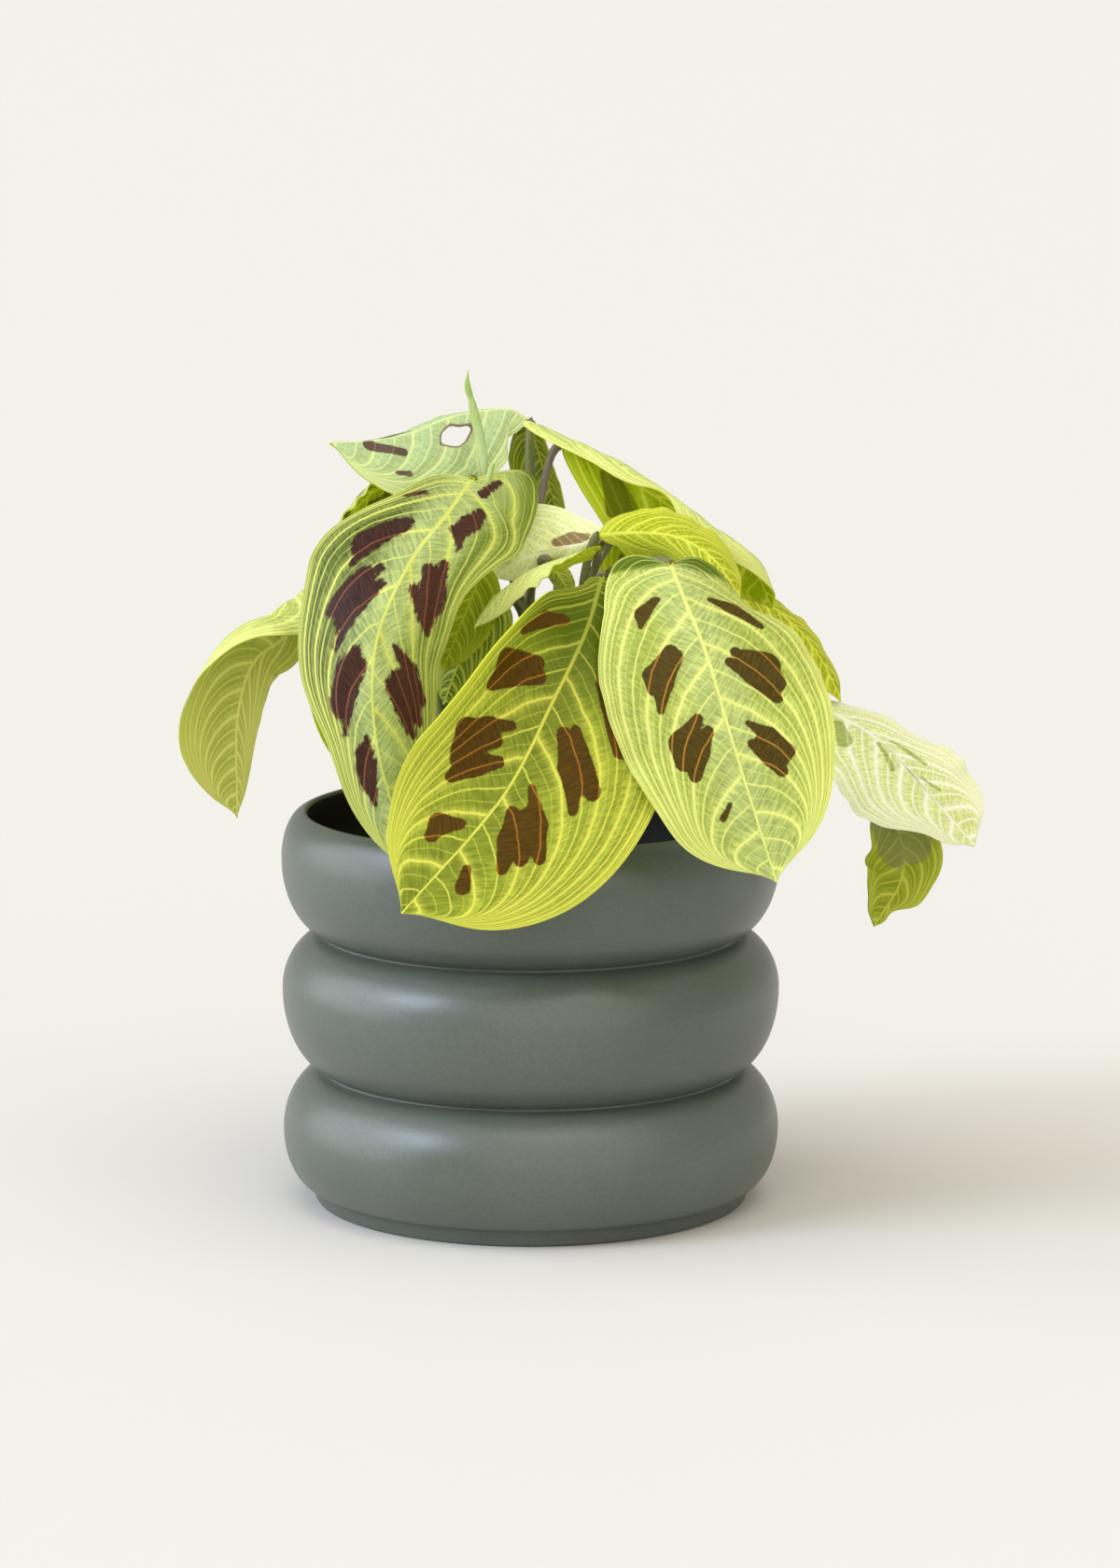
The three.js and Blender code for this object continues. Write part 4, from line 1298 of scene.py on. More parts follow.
@dataclass(frozen=True)
class Glaze:
    """Stoneware glaze with faint clouds and fine specks.

    Args:
        name: The material's name.
        body: The glaze's colour.
        cloud: Its colour where it lies thinner.
        roughness: Its roughness.
    """

    name: str
    body: str
    cloud: str
    roughness: float

    def material(self) -> Material:
        """Build the material. The clouds give the eye the uneven coat of a dipped pot.

        Returns:
            The material.
        """
        made, tree = new_material(self.name)
        add = partial(add_node, tree)
        at = add("ShaderNodeTexCoord").outputs["Object"]
        slow = add("ShaderNodeTexNoise", {"Vector": at, "Scale": 24.0, "Detail": 3.0})
        cloud = add("ShaderNodeMapRange", {0: slow, 1: 0.35, 2: 0.7, 3: 0.0, 4: 0.5})
        colour = add(
            "ShaderNodeMix", {0: cloud, 6: linear(self.body), 7: linear(self.cloud)}, data_type="RGBA"
        )
        fine = add("ShaderNodeTexNoise", {"Vector": at, "Scale": 900.0, "Detail": 2.0})
        speck = add("ShaderNodeMapRange", {0: fine, 1: 0.4, 2: 0.6, 3: 0.94, 4: 1.05})
        colour = add("ShaderNodeVectorMath", {0: colour.outputs[2], "Scale": speck}, operation="SCALE")
        rough = add(
            "ShaderNodeMapRange",
            {0: slow, 1: 0.3, 2: 0.7, 3: self.roughness - 0.04, 4: self.roughness + 0.05},
        )
        bump = add("ShaderNodeBump", {"Strength": 0.25, "Distance": 0.06 * MM, "Height": fine})
        inputs = {"Base Color": colour, "Roughness": rough, "IOR": 1.6, "Normal": bump}
        set_surface(tree, add("ShaderNodeBsdfPrincipled", inputs))
        return made


@dataclass(frozen=True)
class Pot:
    """The turned pot of three stacked rolls, with an open rolled-in rim. Sizes in mm.

    Args:
        height: Height of the rim.
        max_radius: Radius of a roll at its widest.
        groove_radius: Radius of the grooves.
        lip_radius: Radius of the rim.
        foot_radius: Radius of the foot.
        foot_height: Where the lowest roll starts.
        grooves: Heights of the grooves.
        rolls: Heights where the rolls are widest.
        wall: Thickness of the wall.
        floor: Thickness of the floor.
        sides: Faces around.
    """

    height: float = 125
    max_radius: float = 79
    groove_radius: float = 64
    lip_radius: float = 71.7
    foot_radius: float = 69
    foot_height: float = 5
    grooves: tuple[float, float] = (42.6, 86.1)
    rolls: tuple[float, float, float] = (23, 68.3, 110)
    wall: float = 5
    floor: float = 8
    sides: int = 144

    @staticmethod
    def quarter(
        from_r: float, from_z: float, to_r: float, to_z: float, steps: int, first: float = 0.0
    ) -> list[tuple[float, float]]:
        """Half of a roll's outline: a quarter ellipse up to the roll's widest height.

        Args:
            from_r: Radius where the ellipse begins.
            from_z: Height there.
            to_r: The roll's widest radius.
            to_z: Height there.
            steps: Points on the way.
            first: The ellipse's angle at the first point, in radians.

        Returns:
            Radius and height of each point, without the widest one.
        """
        angles = [first + i / steps * (math.pi / 2 - first) for i in range(steps)]
        return [
            (from_r + (to_r - from_r) * math.sin(a), to_z + (from_z - to_z) * math.cos(a)) for a in angles
        ]

    def half_roll(self, groove: float, middle: float) -> list[tuple[float, float]]:
        """Outline a roll from a groove, which the glaze rounds at its bottom, to the roll's middle.

        Args:
            groove: The groove's height.
            middle: Height where the roll is widest.

        Returns:
            Radius and height of each point, without the widest one.
        """
        soft = 0.5 if middle > groove else -0.5
        rest = self.quarter(self.groove_radius, groove, self.max_radius, middle, 15, 0.3)
        return [(self.groove_radius + 3.0, groove + soft), *rest]

    def outline(self) -> tuple[list[tuple[float, float]], int]:
        """The wall's profile.

        Returns:
            Radius and height, up the outside and down the inside, and how many of them are outside.
        """
        groove, wide = self.groove_radius, self.max_radius
        low, high = self.grooves
        outside = [
            (self.foot_radius - 1.6, 0.0),
            (self.foot_radius - 0.5, 0.3),
            (self.foot_radius, 1.0),
            (self.foot_radius, 3.5),
            *self.quarter(self.foot_radius, self.foot_height, wide, self.rolls[0], 14, 0.18),
            *self.half_roll(low, self.rolls[0])[::-1],
            (groove + 2.5, low),
            *self.half_roll(low, self.rolls[1]),
            *self.half_roll(high, self.rolls[1])[::-1],
            (groove + 2.5, high),
            *self.half_roll(high, self.rolls[2]),
            *self.quarter(self.lip_radius, self.height, wide, self.rolls[2], 14)[::-1],
        ]
        inside = [
            (self.lip_radius - 0.6, self.height - 0.15),
            (self.lip_radius - 1.0, self.height - 0.8),
            (self.lip_radius - 0.9, self.height - 2.2),
            (self.lip_radius + 0.2, self.height - 5.2),
            (wide - self.wall - 0.6, self.rolls[2] + 4),
            (wide - self.wall, self.rolls[2]),
            (wide - self.wall - 1.6, self.rolls[2] - 6),
            (groove - self.wall, high),
            (groove - self.wall, self.floor + 4),
            (groove - self.wall - 1.2, self.floor + 1.2),
            (groove - self.wall - 4, self.floor),
        ]
        return outside + inside, len(outside)

    def build(self) -> Object:
        """Make the pot, satin outside and dark inside.

        Returns:
            The finished piece.
        """
        profile, outside = self.outline()
        points, faces = turned(profile, self.sides)
        made = new_mesh_object("pot", points * MM, faces)
        for glaze in (
            Glaze("stoneware glaze, satin grey green", "#4c544b", "#575f57", 0.37),
            # The inside is near black, far darker than the outside.
            Glaze("pot inside, near black", "#0b0c08", "#11120d", 0.8),
        ):
            made.data.materials.append(glaze.material())
        inner = (outside + 1) * self.sides
        dark = [min(f.vertices) >= inner and len(f.vertices) == 4 for f in made.data.polygons]
        dark[-1] = True  # the disc that closes the floor
        made.data.polygons.foreach_set("material_index", [int(d) for d in dark])
        made.data.shade_smooth()
        made.data.polygons[-2].use_smooth = made.data.polygons[-1].use_smooth = False
        return place(made, "pot", "pot")


# ---- Potting mix ----


def matte(name: str, low: str, high: str, scale: float, roughness: float = 0.9) -> Material:
    """A matt material whose colour wanders between two tones, as grains of peat, bark or dry tissue do.

    Args:
        name: The material's name.
        low: One tone.
        high: The other tone.
        scale: Scale of the noise, in one over metres.
        roughness: Roughness.

    Returns:
        The material.
    """
    made, tree = new_material(name)
    add = partial(add_node, tree)
    at = add("ShaderNodeTexCoord").outputs["Object"]
    grain = add("ShaderNodeTexNoise", {"Vector": at, "Scale": scale, "Detail": 4.0, "Roughness": 0.65})
    share = add("ShaderNodeMapRange", {0: grain, 1: 0.35, 2: 0.68})
    colour = add("ShaderNodeMix", {0: share, 6: linear(low), 7: linear(high)}, data_type="RGBA")
    bump = add("ShaderNodeBump", {"Strength": 0.6, "Distance": 0.5 * MM, "Height": grain})
    inputs = {
        "Base Color": colour.outputs[2],
        "Roughness": roughness,
        "Specular IOR Level": 0.12,
        "Normal": bump,
    }
    set_surface(tree, add("ShaderNodeBsdfPrincipled", inputs))
    return made


@dataclass(frozen=True)
class PottingMix:
    """The dark crumbly mix that fills the pot up to a low mound. Sizes in mm.

    Args:
        profile: Radius and height of its outline, from the bottom up and in over the mound.
        sides: Faces around.
        mound: Height above which it is lumpy.
        edge: Radii between which the lumps fade out.
        sunk: How far the lumps lie below the outline.
        crumbs: Loose crumbs on a square metre.
        chips: Bark chips on a square metre.
    """

    profile: tuple[tuple[float, float], ...] = (
        (54.5, 8.3), (57.6, 9.4), (58.7, 12.5), (58.7, 86.1), (67.5, 101), (61, 102.2), (54, 103),
        (46, 103.5), (38, 103.9), (30, 104.2), (22, 104.5), (14, 104.8), (7, 104.9), (2, SOIL_TOP),
    )
    sides: int = 72
    mound: float = 100
    edge: tuple[float, float] = (58, 67)
    sunk: float = 0.5
    crumbs: float = 5.2e4
    chips: float = 6.5e3

    def build(self) -> Object:
        """Make the mix: a lumpy mound with loose crumbs and bark chips on it.

        Returns:
            The finished piece.
        """
        points, faces = turned(self.profile, self.sides)
        r = np.hypot(points[:, 0], points[:, 1])
        lumps = sum(
            a * np.sin(points[:, 0] * k + p) * np.cos(points[:, 1] * k * 1.13 + 2 * p)
            for a, k, p in ((0.7, 0.16, 0.4), (0.4, 0.37, 1.9), (0.25, 0.71, 4.2))
        )
        inner, outer = self.edge
        upper = (points[:, 2] > self.mound) & (r < outer)
        points[upper, 2] += lumps[upper] * smooth(outer, inner, r[upper]) - self.sunk
        made = new_mesh_object("potting_mix", points * MM, faces)
        made.data.shade_smooth()
        soil = matte("potting mix, damp peat and bark", "#0c0a07", "#2a2118", 400.0)
        bark = matte("bark chips", "#20180f", "#4a3826", 300.0)
        grow(made, self.litter(), {"Mix": soil, "Bark": bark})
        return place(made, "soil", "soil")

    def litter(self) -> Tree:
        """Build the tree that strews crumbs and bark chips on the mound.

        Returns:
            The tree.
        """
        tree, start = new_tree(
            "Litter",
            {
                "Crumb Density": self.crumbs,
                "Chip Density": self.chips,
                "Crumb Size": 0.9 * MM,
                "Chip Size": 3.2 * MM,
                "Litter Height": 100.8 * MM,
                "Seed": 7,
                "Mix": None,
                "Bark": None,
            },
        )
        add = partial(add_node, tree)
        height = add("ShaderNodeSeparateXYZ", {0: add("GeometryNodeInputPosition")}).outputs[2]
        least = start.outputs["Litter Height"]
        upper = add("FunctionNodeCompare", {0: height, 1: least}, operation="GREATER_THAN")
        crumb = add("GeometryNodeMeshIcoSphere", {"Radius": start.outputs["Crumb Size"], "Subdivisions": 1})
        crumb = add("GeometryNodeSetMaterial", {0: crumb, "Material": start.outputs["Mix"]})
        thin = add("ShaderNodeCombineXYZ", {0: 1.0, 1: 0.62, 2: 0.34})
        size = add("ShaderNodeVectorMath", {0: thin, "Scale": start.outputs["Chip Size"]}, operation="SCALE")
        chip = add("GeometryNodeMeshCube", {0: size})
        chip = add("GeometryNodeSetMaterial", {0: chip, "Material": start.outputs["Bark"]})
        strewn = []
        for density, what, low, high, step in (
            (start.outputs["Crumb Density"], crumb, 0.4, 1.5, 0),
            (start.outputs["Chip Density"], chip, 0.5, 1.3, 20),
        ):
            seed = add("ShaderNodeMath", {0: start.outputs["Seed"], 1: float(step)}, operation="ADD")
            points = add(
                "GeometryNodeDistributePointsOnFaces",
                {0: start.outputs[0], "Selection": upper, "Density": density, "Seed": seed},
            )
            scale = add("FunctionNodeRandomValue", {2: low, 3: high, 8: seed}, data_type="FLOAT")
            # Each piece leans up to half a radian either way and turns all the way round.
            turn = add(
                "FunctionNodeRandomValue",
                {0: (-0.5, -0.5, 0.0), 1: (0.5, 0.5, 6.28), 8: seed},
                data_type="FLOAT_VECTOR",
            )
            placed = add(
                "GeometryNodeInstanceOnPoints",
                {0: points, "Instance": what, "Rotation": turn.outputs[0], "Scale": scale.outputs[1]},
            )
            strewn.append(placed)
        ground = add("GeometryNodeSetMaterial", {0: start.outputs[0], "Material": start.outputs["Mix"]})
        end_tree(tree, ground, *strewn)
        return tree


# ---- Shoots ----


@dataclass(frozen=True)
class StalkFinish:
    """Smooth living stalk: olive green, flushed with grey purple where it is older.

    Args:
        name: The material's name.
        green: Colour of a young stalk.
        flush: Colour of an old one.
    """

    name: str = "leaf stalk, olive and grey purple"
    green: str = "#5c6b10"
    flush: str = "#76675a"

    def material(self) -> Material:
        """Build the material. Its long streaks give the eye the ribs of a stalk.

        Returns:
            The material, which reads the flush of a rod.
        """
        made, tree = new_material(self.name)
        add = partial(add_node, tree)
        at = add("ShaderNodeTexCoord").outputs["Object"]
        long = add("ShaderNodeMapping", {0: at, "Scale": (1.0, 1.0, 0.06)})
        streak = add("ShaderNodeTexNoise", {"Vector": long, "Scale": 1400.0, "Detail": 2.0})
        slow = add("ShaderNodeTexNoise", {"Vector": at, "Scale": 60.0, "Detail": 2.0})
        flushed = add("ShaderNodeAttribute", attribute_name="flush")
        sway = add("ShaderNodeMapRange", {0: slow, 1: 0.3, 2: 0.7, 3: -0.2, 4: 0.2})
        share = add("ShaderNodeMath", {0: flushed.outputs["Fac"], 1: sway}, operation="ADD", use_clamp=True)
        colour = add(
            "ShaderNodeMix", {0: share, 6: linear(self.green), 7: linear(self.flush)}, data_type="RGBA"
        )
        shade = add("ShaderNodeMapRange", {0: streak, 1: 0.3, 2: 0.7, 3: 0.8, 4: 1.2})
        colour = add("ShaderNodeVectorMath", {0: colour.outputs[2], "Scale": shade}, operation="SCALE")
        inputs = {"Base Color": colour, "Roughness": 0.45, "IOR": 1.42}
        set_surface(tree, add("ShaderNodeBsdfPrincipled", inputs))
        return made


@dataclass(frozen=True)
class Stalk:
    """One leaf stalk.

    Args:
        height: Where it leaves its stem, in mm.
        base: Where its blade begins.
        ahead: The next point of that blade's midrib.
        neck: The mm that it runs along the midrib's direction before the blade.
        flush: How purple it is, from 0 to 1.
    """

    height: float
    base: Point
    ahead: Point
    neck: float = 14.0
    flush: float = 0.3


@dataclass(frozen=True)
class Shoot:
    """A stem that stands in the mix, with the leaf stalks that branch from it. Sizes in mm.

    Args:
        name: The end of its CAD node's name.
        foot: Where the stem stands, as x and y.
        top: The stem's upper end.
        stalks: The leaf stalks.
        flush: How purple the stem is, from 0 to 1.
        deep: Height of the stem's lower end, in the mix.
        radii: Radius of the stem in the mix and at its top.
        sheath: How much thicker the sheath of a stalk makes the stem.
        stalk_radius: Radius of a stalk where it leaves the stem.
        taper: How much thinner a stalk gets on its way.
        joint: How much thicker its last part is, where the leaf turns to the light.
        gap: Room between a stalk and its blade.
        rings: Points along the stem.
        steps: Points along a stalk.
    """

    name: str
    foot: tuple[float, float]
    top: Point
    stalks: tuple[Stalk, ...]
    flush: float = 0.5
    deep: float = 65.0
    radii: tuple[float, float] = (2.1, 1.5)
    sheath: float = 0.35
    stalk_radius: float = 1.45
    taper: float = 0.3
    joint: float = 0.22
    gap: float = 0.3
    rings: int = 24
    steps: int = 26

    def line(self, height: float) -> np.ndarray:
        """The stem's middle at a height."""
        low, high = np.array([*self.foot, self.deep]), np.array(self.top, float)
        return low + (high - low) * (height - low[2]) / (high[2] - low[2])

    def strands(self) -> list[tuple[np.ndarray, np.ndarray, np.ndarray]]:
        """Lay out the stem and its stalks.

        Returns:
            Points, radii and flush of each.
        """
        heights = np.linspace(self.deep, self.top[2], self.rings)
        points = np.array([self.line(h) for h in heights])
        radii = np.interp(heights, [SOIL_TOP, self.top[2]], self.radii)
        # Each stalk's sheath wraps the stem below the place where the stalk leaves.
        for stalk in self.stalks:
            radii = radii + self.sheath * np.exp(-(((heights - stalk.height + 8) / 7) ** 2))
        out = [(points, radii, np.full(self.rings, self.flush))]
        for stalk in self.stalks:
            start = self.line(stalk.height)
            into = unit(np.array(stalk.ahead, float) - np.array(stalk.base, float))
            end = np.array(stalk.base) - into * self.gap
            span = float(np.linalg.norm(end - start))
            up = unit(self.line(stalk.height + 1) - start)
            leave = start + up * span * 0.5
            arrive = end - into * min(span * 0.4, stalk.neck)
            t = np.linspace(0, 1, self.steps)[:, None]
            curve = (1 - t) ** 3 * start + 3 * (1 - t) ** 2 * t * leave
            curve = curve + 3 * (1 - t) * t * t * arrive + t**3 * end
            # The joint takes the last centimetre and a half.
            left = (1 - t[:, 0]) * span
            radius = self.stalk_radius - self.taper * t[:, 0] + self.joint * smooth(15, 9, left)
            out.append((curve, radius, stalk.flush + 0.25 * smooth(16, 8, left)))
        return out

    def build(self, tree: Tree, skin: Material, hair: Material) -> Object:
        """Make the shoot.

        Args:
            tree: The tree that gives a line its thickness and hairs.
            skin: The stalks' material.
            hair: The hairs' material.

        Returns:
            The finished piece.
        """
        points, thick, flush, edges = [], [], [], []
        for curve, radii, tint in self.strands():
            n = len(points)
            edges += [(n + i, n + i + 1) for i in range(len(curve) - 1)]
            points += list(curve)
            thick += list(radii)
            flush += list(tint)
        marks = {"thick": np.array(thick) * MM, "flush": np.array(flush)}
        made = new_mesh_object(f"shoot_{self.name}", np.array(points) * MM, [], edges, marks)
        seed = sum(ord(c) for c in self.name)
        grow(made, tree, {"Skin": skin, "Hair": hair, "Seed": seed})
        return place(made, "stem", f"shoot_{self.name}")


def hairy_rod() -> Tree:
    """Build the tree that turns lines into round rods with fine hairs.

    Returns:
        The tree. Its lines carry the radius in metres as "thick".
    """
    tree, start = new_tree(
        "Hairy rod",
        {
            "Sides": 14,
            "Hair Density": 1.1e5,
            "Hair Length": 0.9 * MM,
            "Hair Height": 108 * MM,
            "Seed": 1,
            "Skin": None,
            "Hair": None,
        },
    )
    add = partial(add_node, tree)
    thick = add("GeometryNodeInputNamedAttribute", {"Name": "thick"}, data_type="FLOAT")
    curve = add("GeometryNodeMeshToCurve", {0: start.outputs[0]})
    ring = add("GeometryNodeCurvePrimitiveCircle", {"Resolution": start.outputs["Sides"], "Radius": 1.0})
    rod = add("GeometryNodeCurveToMesh", {0: curve, 1: ring, "Scale": thick, "Fill Caps": True})
    rod = add("GeometryNodeSetShadeSmooth", {0: rod, "Shade Smooth": True})
    rod = add("GeometryNodeSetMaterial", {0: rod, "Material": start.outputs["Skin"]})
    # The hairs are about 0.05 mm thick on the plant and are drawn thicker here so that they show at all.
    height = add("ShaderNodeSeparateXYZ", {0: add("GeometryNodeInputPosition")}).outputs[2]
    least = start.outputs["Hair Height"]
    above = add("FunctionNodeCompare", {0: height, 1: least}, operation="GREATER_THAN")
    points = add(
        "GeometryNodeDistributePointsOnFaces",
        {0: rod, "Selection": above, "Density": start.outputs["Hair Density"], "Seed": start.outputs["Seed"]},
    )
    one = add(
        "GeometryNodeMeshCone",
        {"Vertices": 3, "Radius Top": 0.0, "Radius Bottom": 0.07 * MM, "Depth": start.outputs["Hair Length"]},
        fill_type="TRIANGLE_FAN",
    )
    one = add("GeometryNodeSetMaterial", {0: one, "Material": start.outputs["Hair"]})
    size = add("FunctionNodeRandomValue", {2: 0.5, 3: 1.15, 8: start.outputs["Seed"]}, data_type="FLOAT")
    hairs = add(
        "GeometryNodeInstanceOnPoints",
        {0: points, "Instance": one, "Rotation": points.outputs["Rotation"], "Scale": size.outputs[1]},
    )
    end_tree(tree, hairs, rod)
    return tree


def stalk_of(name: str, height: float, neck: float = Stalk.neck, flush: float = Stalk.flush) -> Stalk:
    """Describe the stalk of a named blade."""
    base, ahead = next(leaf.rib[:2] for leaf in LEAVES if leaf.name == name)
    return Stalk(height, base, ahead, neck, flush)


# The plant's shoots with the stalks of their leaves. The left one also carries the bud.
SHOOTS: tuple[Shoot, ...] = (
    Shoot(
        "left",
        (-22, -4),
        (-19, -6, 200),
        (
            stalk_of("left_front", 192, 5),
            stalk_of("left_far", 160, flush=0.1),
            Stalk(197, (-15, -15, 232), (-16, -15.5, 245), flush=0.0),
        ),
    ),
    Shoot(
        "middle",
        (-5, 0),
        (0, -4, 200),
        (
            stalk_of("upper_left", 190, 1.5, flush=0.15),
            stalk_of("upper_right", 172, 6, flush=0.95),
            stalk_of("inner_left", 176, 10),
            stalk_of("inner_dark", 172, 6),
            stalk_of("inner_small", 188, 4),
            stalk_of("behind_middle", 190),
        ),
        flush=0.95,
    ),
    Shoot(
        "front",
        (14, -12),
        (16, -17, 196),
        (
            stalk_of("front", 170, 6),
            stalk_of("right_front", 184, 5),
            stalk_of("centre", 188, 2),
            stalk_of("right_mid", 190, 2),
            stalk_of("inner_front", 176, 3),
        ),
        flush=0.8,
    ),
    Shoot(
        "right",
        (30, 4),
        (27, 4, 178),
        (
            stalk_of("right_far", 150),
            stalk_of("right_low", 130),
            stalk_of("right_back", 172),
            stalk_of("back_right", 160),
        ),
    ),
    Shoot(
        "back",
        (6, 26),
        (9, 24, 200),
        (stalk_of("back_high", 196), stalk_of("back_middle", 150), stalk_of("back_inner", 178)),
    ),
    Shoot(
        "back_left",
        (-26, 18),
        (-29, 19, 186),
        (stalk_of("behind_left", 182), stalk_of("back_left", 170), stalk_of("back_low", 148)),
    ),
)


# ---- Bud ----


@dataclass(frozen=True)
class Bud:
    """A young leaf still rolled into a spear, with its margin as a lip down one side. Sizes in mm.

    Args:
        name: The piece's name.
        rib: The middle of the roll, from its foot to its tip.
        radius: The roll's radius at its foot.
        tip_radius: Its radius towards the tip.
        rows: Rings along it.
        around: Points around it.
        twist: How far it turns on its way up, in radians.
        stands_for: The CAD nodes that it replaces.
    """

    name: str = "bud"
    rib: tuple[Point, ...] = (
        (-14.5, -15, 232),
        (-15.2, -15.3, 243),
        (-17.8, -15.8, 255),
        (-19.4, -16, 261),
        (-19, -16, 265.5),
    )
    radius: float = 2.0
    tip_radius: float = 0.9
    rows: int = 70
    around: int = 26
    twist: float = 1.9
    stands_for: tuple[str, ...] = ("bud",)

    def build(self, skin: Material) -> Object:
        """Make the rolled leaf.

        Args:
            skin: Its material.

        Returns:
            The finished piece.
        """
        line = Centreline(self.rib)
        t = np.linspace(0, 1, self.rows)
        centre, along = line.at(t)
        side = unit(np.cross(along, (0, 1, 0)))
        front = np.cross(side, along)
        # The roll is narrow at its foot. Near the tip it pinches in, opens a little and ends in a point.
        thick = self.radius + (self.tip_radius - self.radius) * t
        thick = thick * (0.62 + 0.38 * np.minimum(t / 0.12, 1))
        thick = thick * (1 - 0.22 * np.exp(-(((t - 0.74) / 0.04) ** 2)))
        thick = thick * (0.12 + 0.88 * smooth(1.0, 0.84, t))
        turn = np.linspace(0, 1, self.around)
        angle = (turn * 2 * np.pi)[None, :] + (self.twist * t - 1.1)[:, None]
        # The roll is a spiral: the outer lip stands over the start of the next turn.
        reach = thick[:, None] * (1.1 - 0.26 * turn**0.6)[None, :]
        ring = side[:, None] * np.cos(angle)[..., None] + front[:, None] * np.sin(angle)[..., None]
        points = centre[:, None] + ring * reach[..., None]
        size = (self.rows, self.around)
        n = np.arange(self.rows * self.around).reshape(size)
        after = np.roll(n, -1, axis=1)
        faces = np.stack([n[:-1], after[:-1], after[1:], n[1:]], -1).reshape(-1, 4).tolist()
        faces += [n[0, ::-1].tolist(), n[-1].tolist()]
        lip = np.broadcast_to(np.minimum(turn, 1 - turn) * 12, size)
        marks = {"lip": lip, Mark.SHARE.value: np.broadcast_to(t[:, None], size)}
        made = new_mesh_object(self.name, points.reshape(-1, 3) * MM, faces, marks=marks)
        made.data.materials.append(skin)
        made.data.shade_smooth()
        return place(made, "bud", *self.stands_for)

    @staticmethod
    def skin() -> Material:
        """Build young leaf tissue, pale green, with a lighter lip and fine lines along the roll.

        Returns:
            The material.
        """
        made, tree = new_material("young leaf, rolled")
        add = partial(add_node, tree)
        at = add("ShaderNodeTexCoord").outputs["Object"]
        long = add("ShaderNodeMapping", {0: at, "Scale": (1.0, 1.0, 0.12)})
        streak = add("ShaderNodeTexNoise", {"Vector": long, "Scale": 1500.0, "Detail": 2.0})
        share = add("ShaderNodeAttribute", attribute_name=Mark.SHARE.value).outputs["Fac"]
        lip = add("ShaderNodeAttribute", attribute_name="lip").outputs["Fac"]
        height = add("ShaderNodeMapRange", {0: share, 1: 0.0, 2: 0.9})
        colour = add(
            "ShaderNodeMix", {0: height, 6: linear("#c6dba4"), 7: linear("#a6c060")}, data_type="RGBA"
        )
        line = add("ShaderNodeMapRange", {0: lip, 1: 0.0, 2: 1.0, 3: 0.8, 4: 0.0})
        colour = add("ShaderNodeMix", {0: line, 6: colour.outputs[2], 7: linear("#d9dc8a")}, data_type="RGBA")
        shade = add("ShaderNodeMapRange", {0: streak, 1: 0.3, 2: 0.7, 3: 0.86, 4: 1.12})
        colour = add("ShaderNodeVectorMath", {0: colour.outputs[2], "Scale": shade}, operation="SCALE")
        skin = add("ShaderNodeBsdfPrincipled", {"Base Color": colour, "Roughness": 0.45})
        through = add("ShaderNodeBsdfTranslucent", {"Color": colour})
        set_surface(tree, add("ShaderNodeMixShader", {0: 0.2, 1: skin, 2: through}))
        return made


# ---- Stage ----


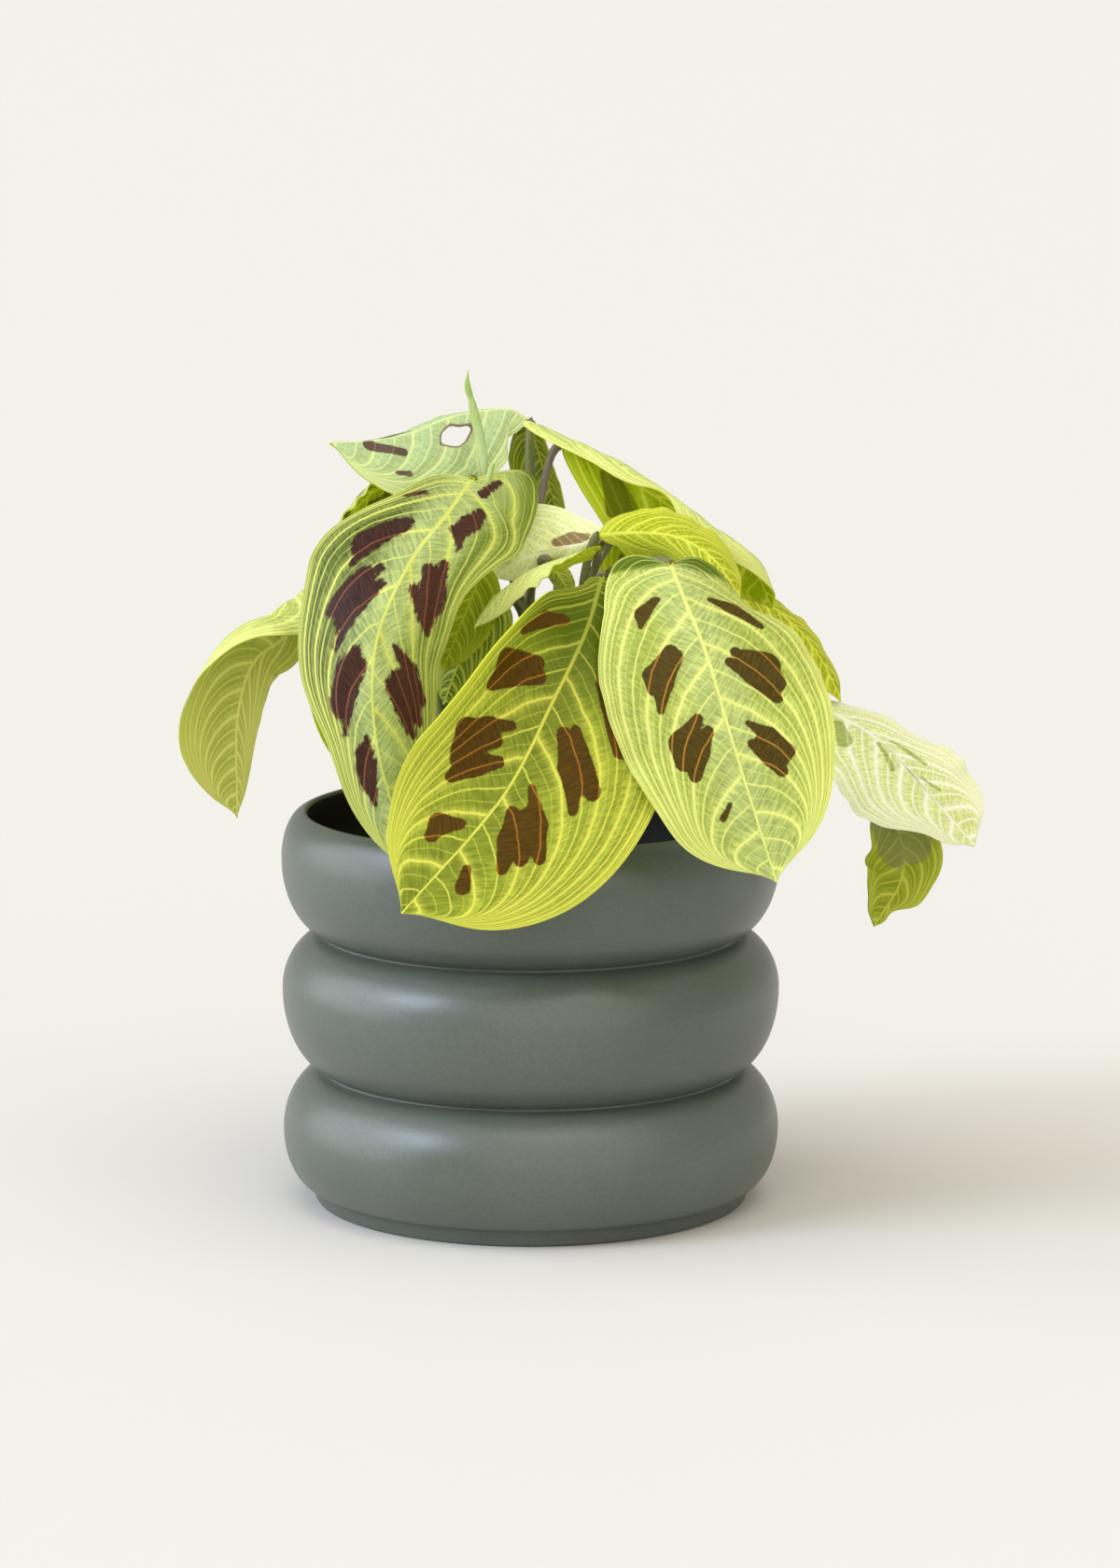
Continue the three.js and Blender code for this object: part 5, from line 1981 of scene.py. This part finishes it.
@dataclass(frozen=True)
class Studio:
    """The camera at the photograph's angle, a pale floor and soft lights.

    Args:
        camera_at: Where the camera stands, in metres.
        pitch: How far it looks down, in degrees.
        lens: Its focal length, in mm.
        floor_radius: Radius of the floor, in metres.
        suns: Name, way, width, strength and colour of each light.
        sky: Strength of the light from all round.
    """

    camera_at: Point = (0.0093, -1.6, 0.401)
    pitch: float = 9.51
    lens: float = 117.7
    floor_radius: float = 45.0
    suns: tuple[tuple[str, Point, float, float, str], ...] = (
        ("key", (-0.73, -0.4, 0.56), 24, 1.7, "#d3e2ff"),
        ("front", (0.25, -0.85, 0.5), 80, 1.25, "#fff8ee"),
        ("rim", (-0.9, 0.05, 0.2), 60, 2.4, "#eef3ff"),
        ("top", (0.1, -0.25, 1.0), 60, 1.0, "#fffdf8"),
    )
    sky: float = 0.6

    def build(self) -> None:
        """Set up the stage."""
        camera = bpy.data.objects.new("camera", bpy.data.cameras.new("camera"))
        bpy.context.scene.collection.objects.link(camera)
        camera.location = self.camera_at
        camera.rotation_euler = (math.radians(90 - self.pitch), 0, 0)
        camera.data.lens = self.lens
        camera.data.sensor_width = 36
        camera.data.sensor_fit = "AUTO"
        camera.data.clip_start, camera.data.clip_end = 0.05, 100
        bpy.context.scene.camera = camera
        self.floor()
        for sun in self.suns:
            self.sun(*sun)
        world = bpy.context.scene.world or bpy.data.worlds.new("world")
        bpy.context.scene.world = world
        world.use_nodes = True
        world.node_tree.nodes["Background"].inputs[0].default_value = linear("#f6f0e4")
        world.node_tree.nodes["Background"].inputs[1].default_value = self.sky
        bpy.context.scene.view_settings.view_transform = "Standard"

    def floor(self) -> None:
        """Lay the pale floor."""
        angle = np.linspace(0, 2 * np.pi, 64, endpoint=False)
        ring = np.stack([np.cos(angle), np.sin(angle), np.zeros(64)], 1) * self.floor_radius
        made = new_mesh_object("floor", ring, [range(64)])
        paint, tree = new_material("painted board, matt off-white")
        add = partial(add_node, tree)
        inputs = {"Base Color": linear("#d3d1cb"), "Roughness": 0.75}
        set_surface(tree, add("ShaderNodeBsdfPrincipled", inputs))
        made.data.materials.append(paint)

    @staticmethod
    def sun(name: str, come_from: Point, size: float, power: float, colour: str) -> None:
        """Hang a far light, as wide as a large soft box.

        Args:
            name: Its name.
            come_from: The way to it.
            size: How wide it looks, in degrees.
            power: Its strength.
            colour: Its colour.
        """
        lamp = bpy.data.lights.new(name, "SUN")
        lamp.angle, lamp.energy, lamp.color = math.radians(size), power, linear(colour)[:3]
        hung = bpy.data.objects.new(name, lamp)
        bpy.context.scene.collection.objects.link(hung)
        hung.rotation_euler = Vector(come_from).to_track_quat("Z", "Y").to_euler()


def main() -> None:
    """Build the plant on its stage."""
    logging.basicConfig(level=logging.INFO, format="%(name)s: %(message)s")
    Studio().build()
    Pot().build()
    PottingMix().build()
    rods, skin = hairy_rod(), StalkFinish().material()
    hair = matte("fine hair on the stalks", "#b9bd94", "#d4d6b4", 500.0, 0.6)
    for shoot in SHOOTS:
        shoot.build(rods, skin, hair)
    dress = {tone: tone.value.material() for tone in Tone}
    body = blade_body()
    for blade in LEAVES:
        blade.build(dress, body)
    young = Bud.skin()
    Bud().build(young)
    bract = ((-14, -16.6, 228), (-13, -17, 231.5), (-12, -17.1, 234.5), (-11, -17, 237))
    Bud("bract", bract, 1.5, 0.5, rows=24, stands_for=()).build(young)


if __name__ == "__main__":
    main()
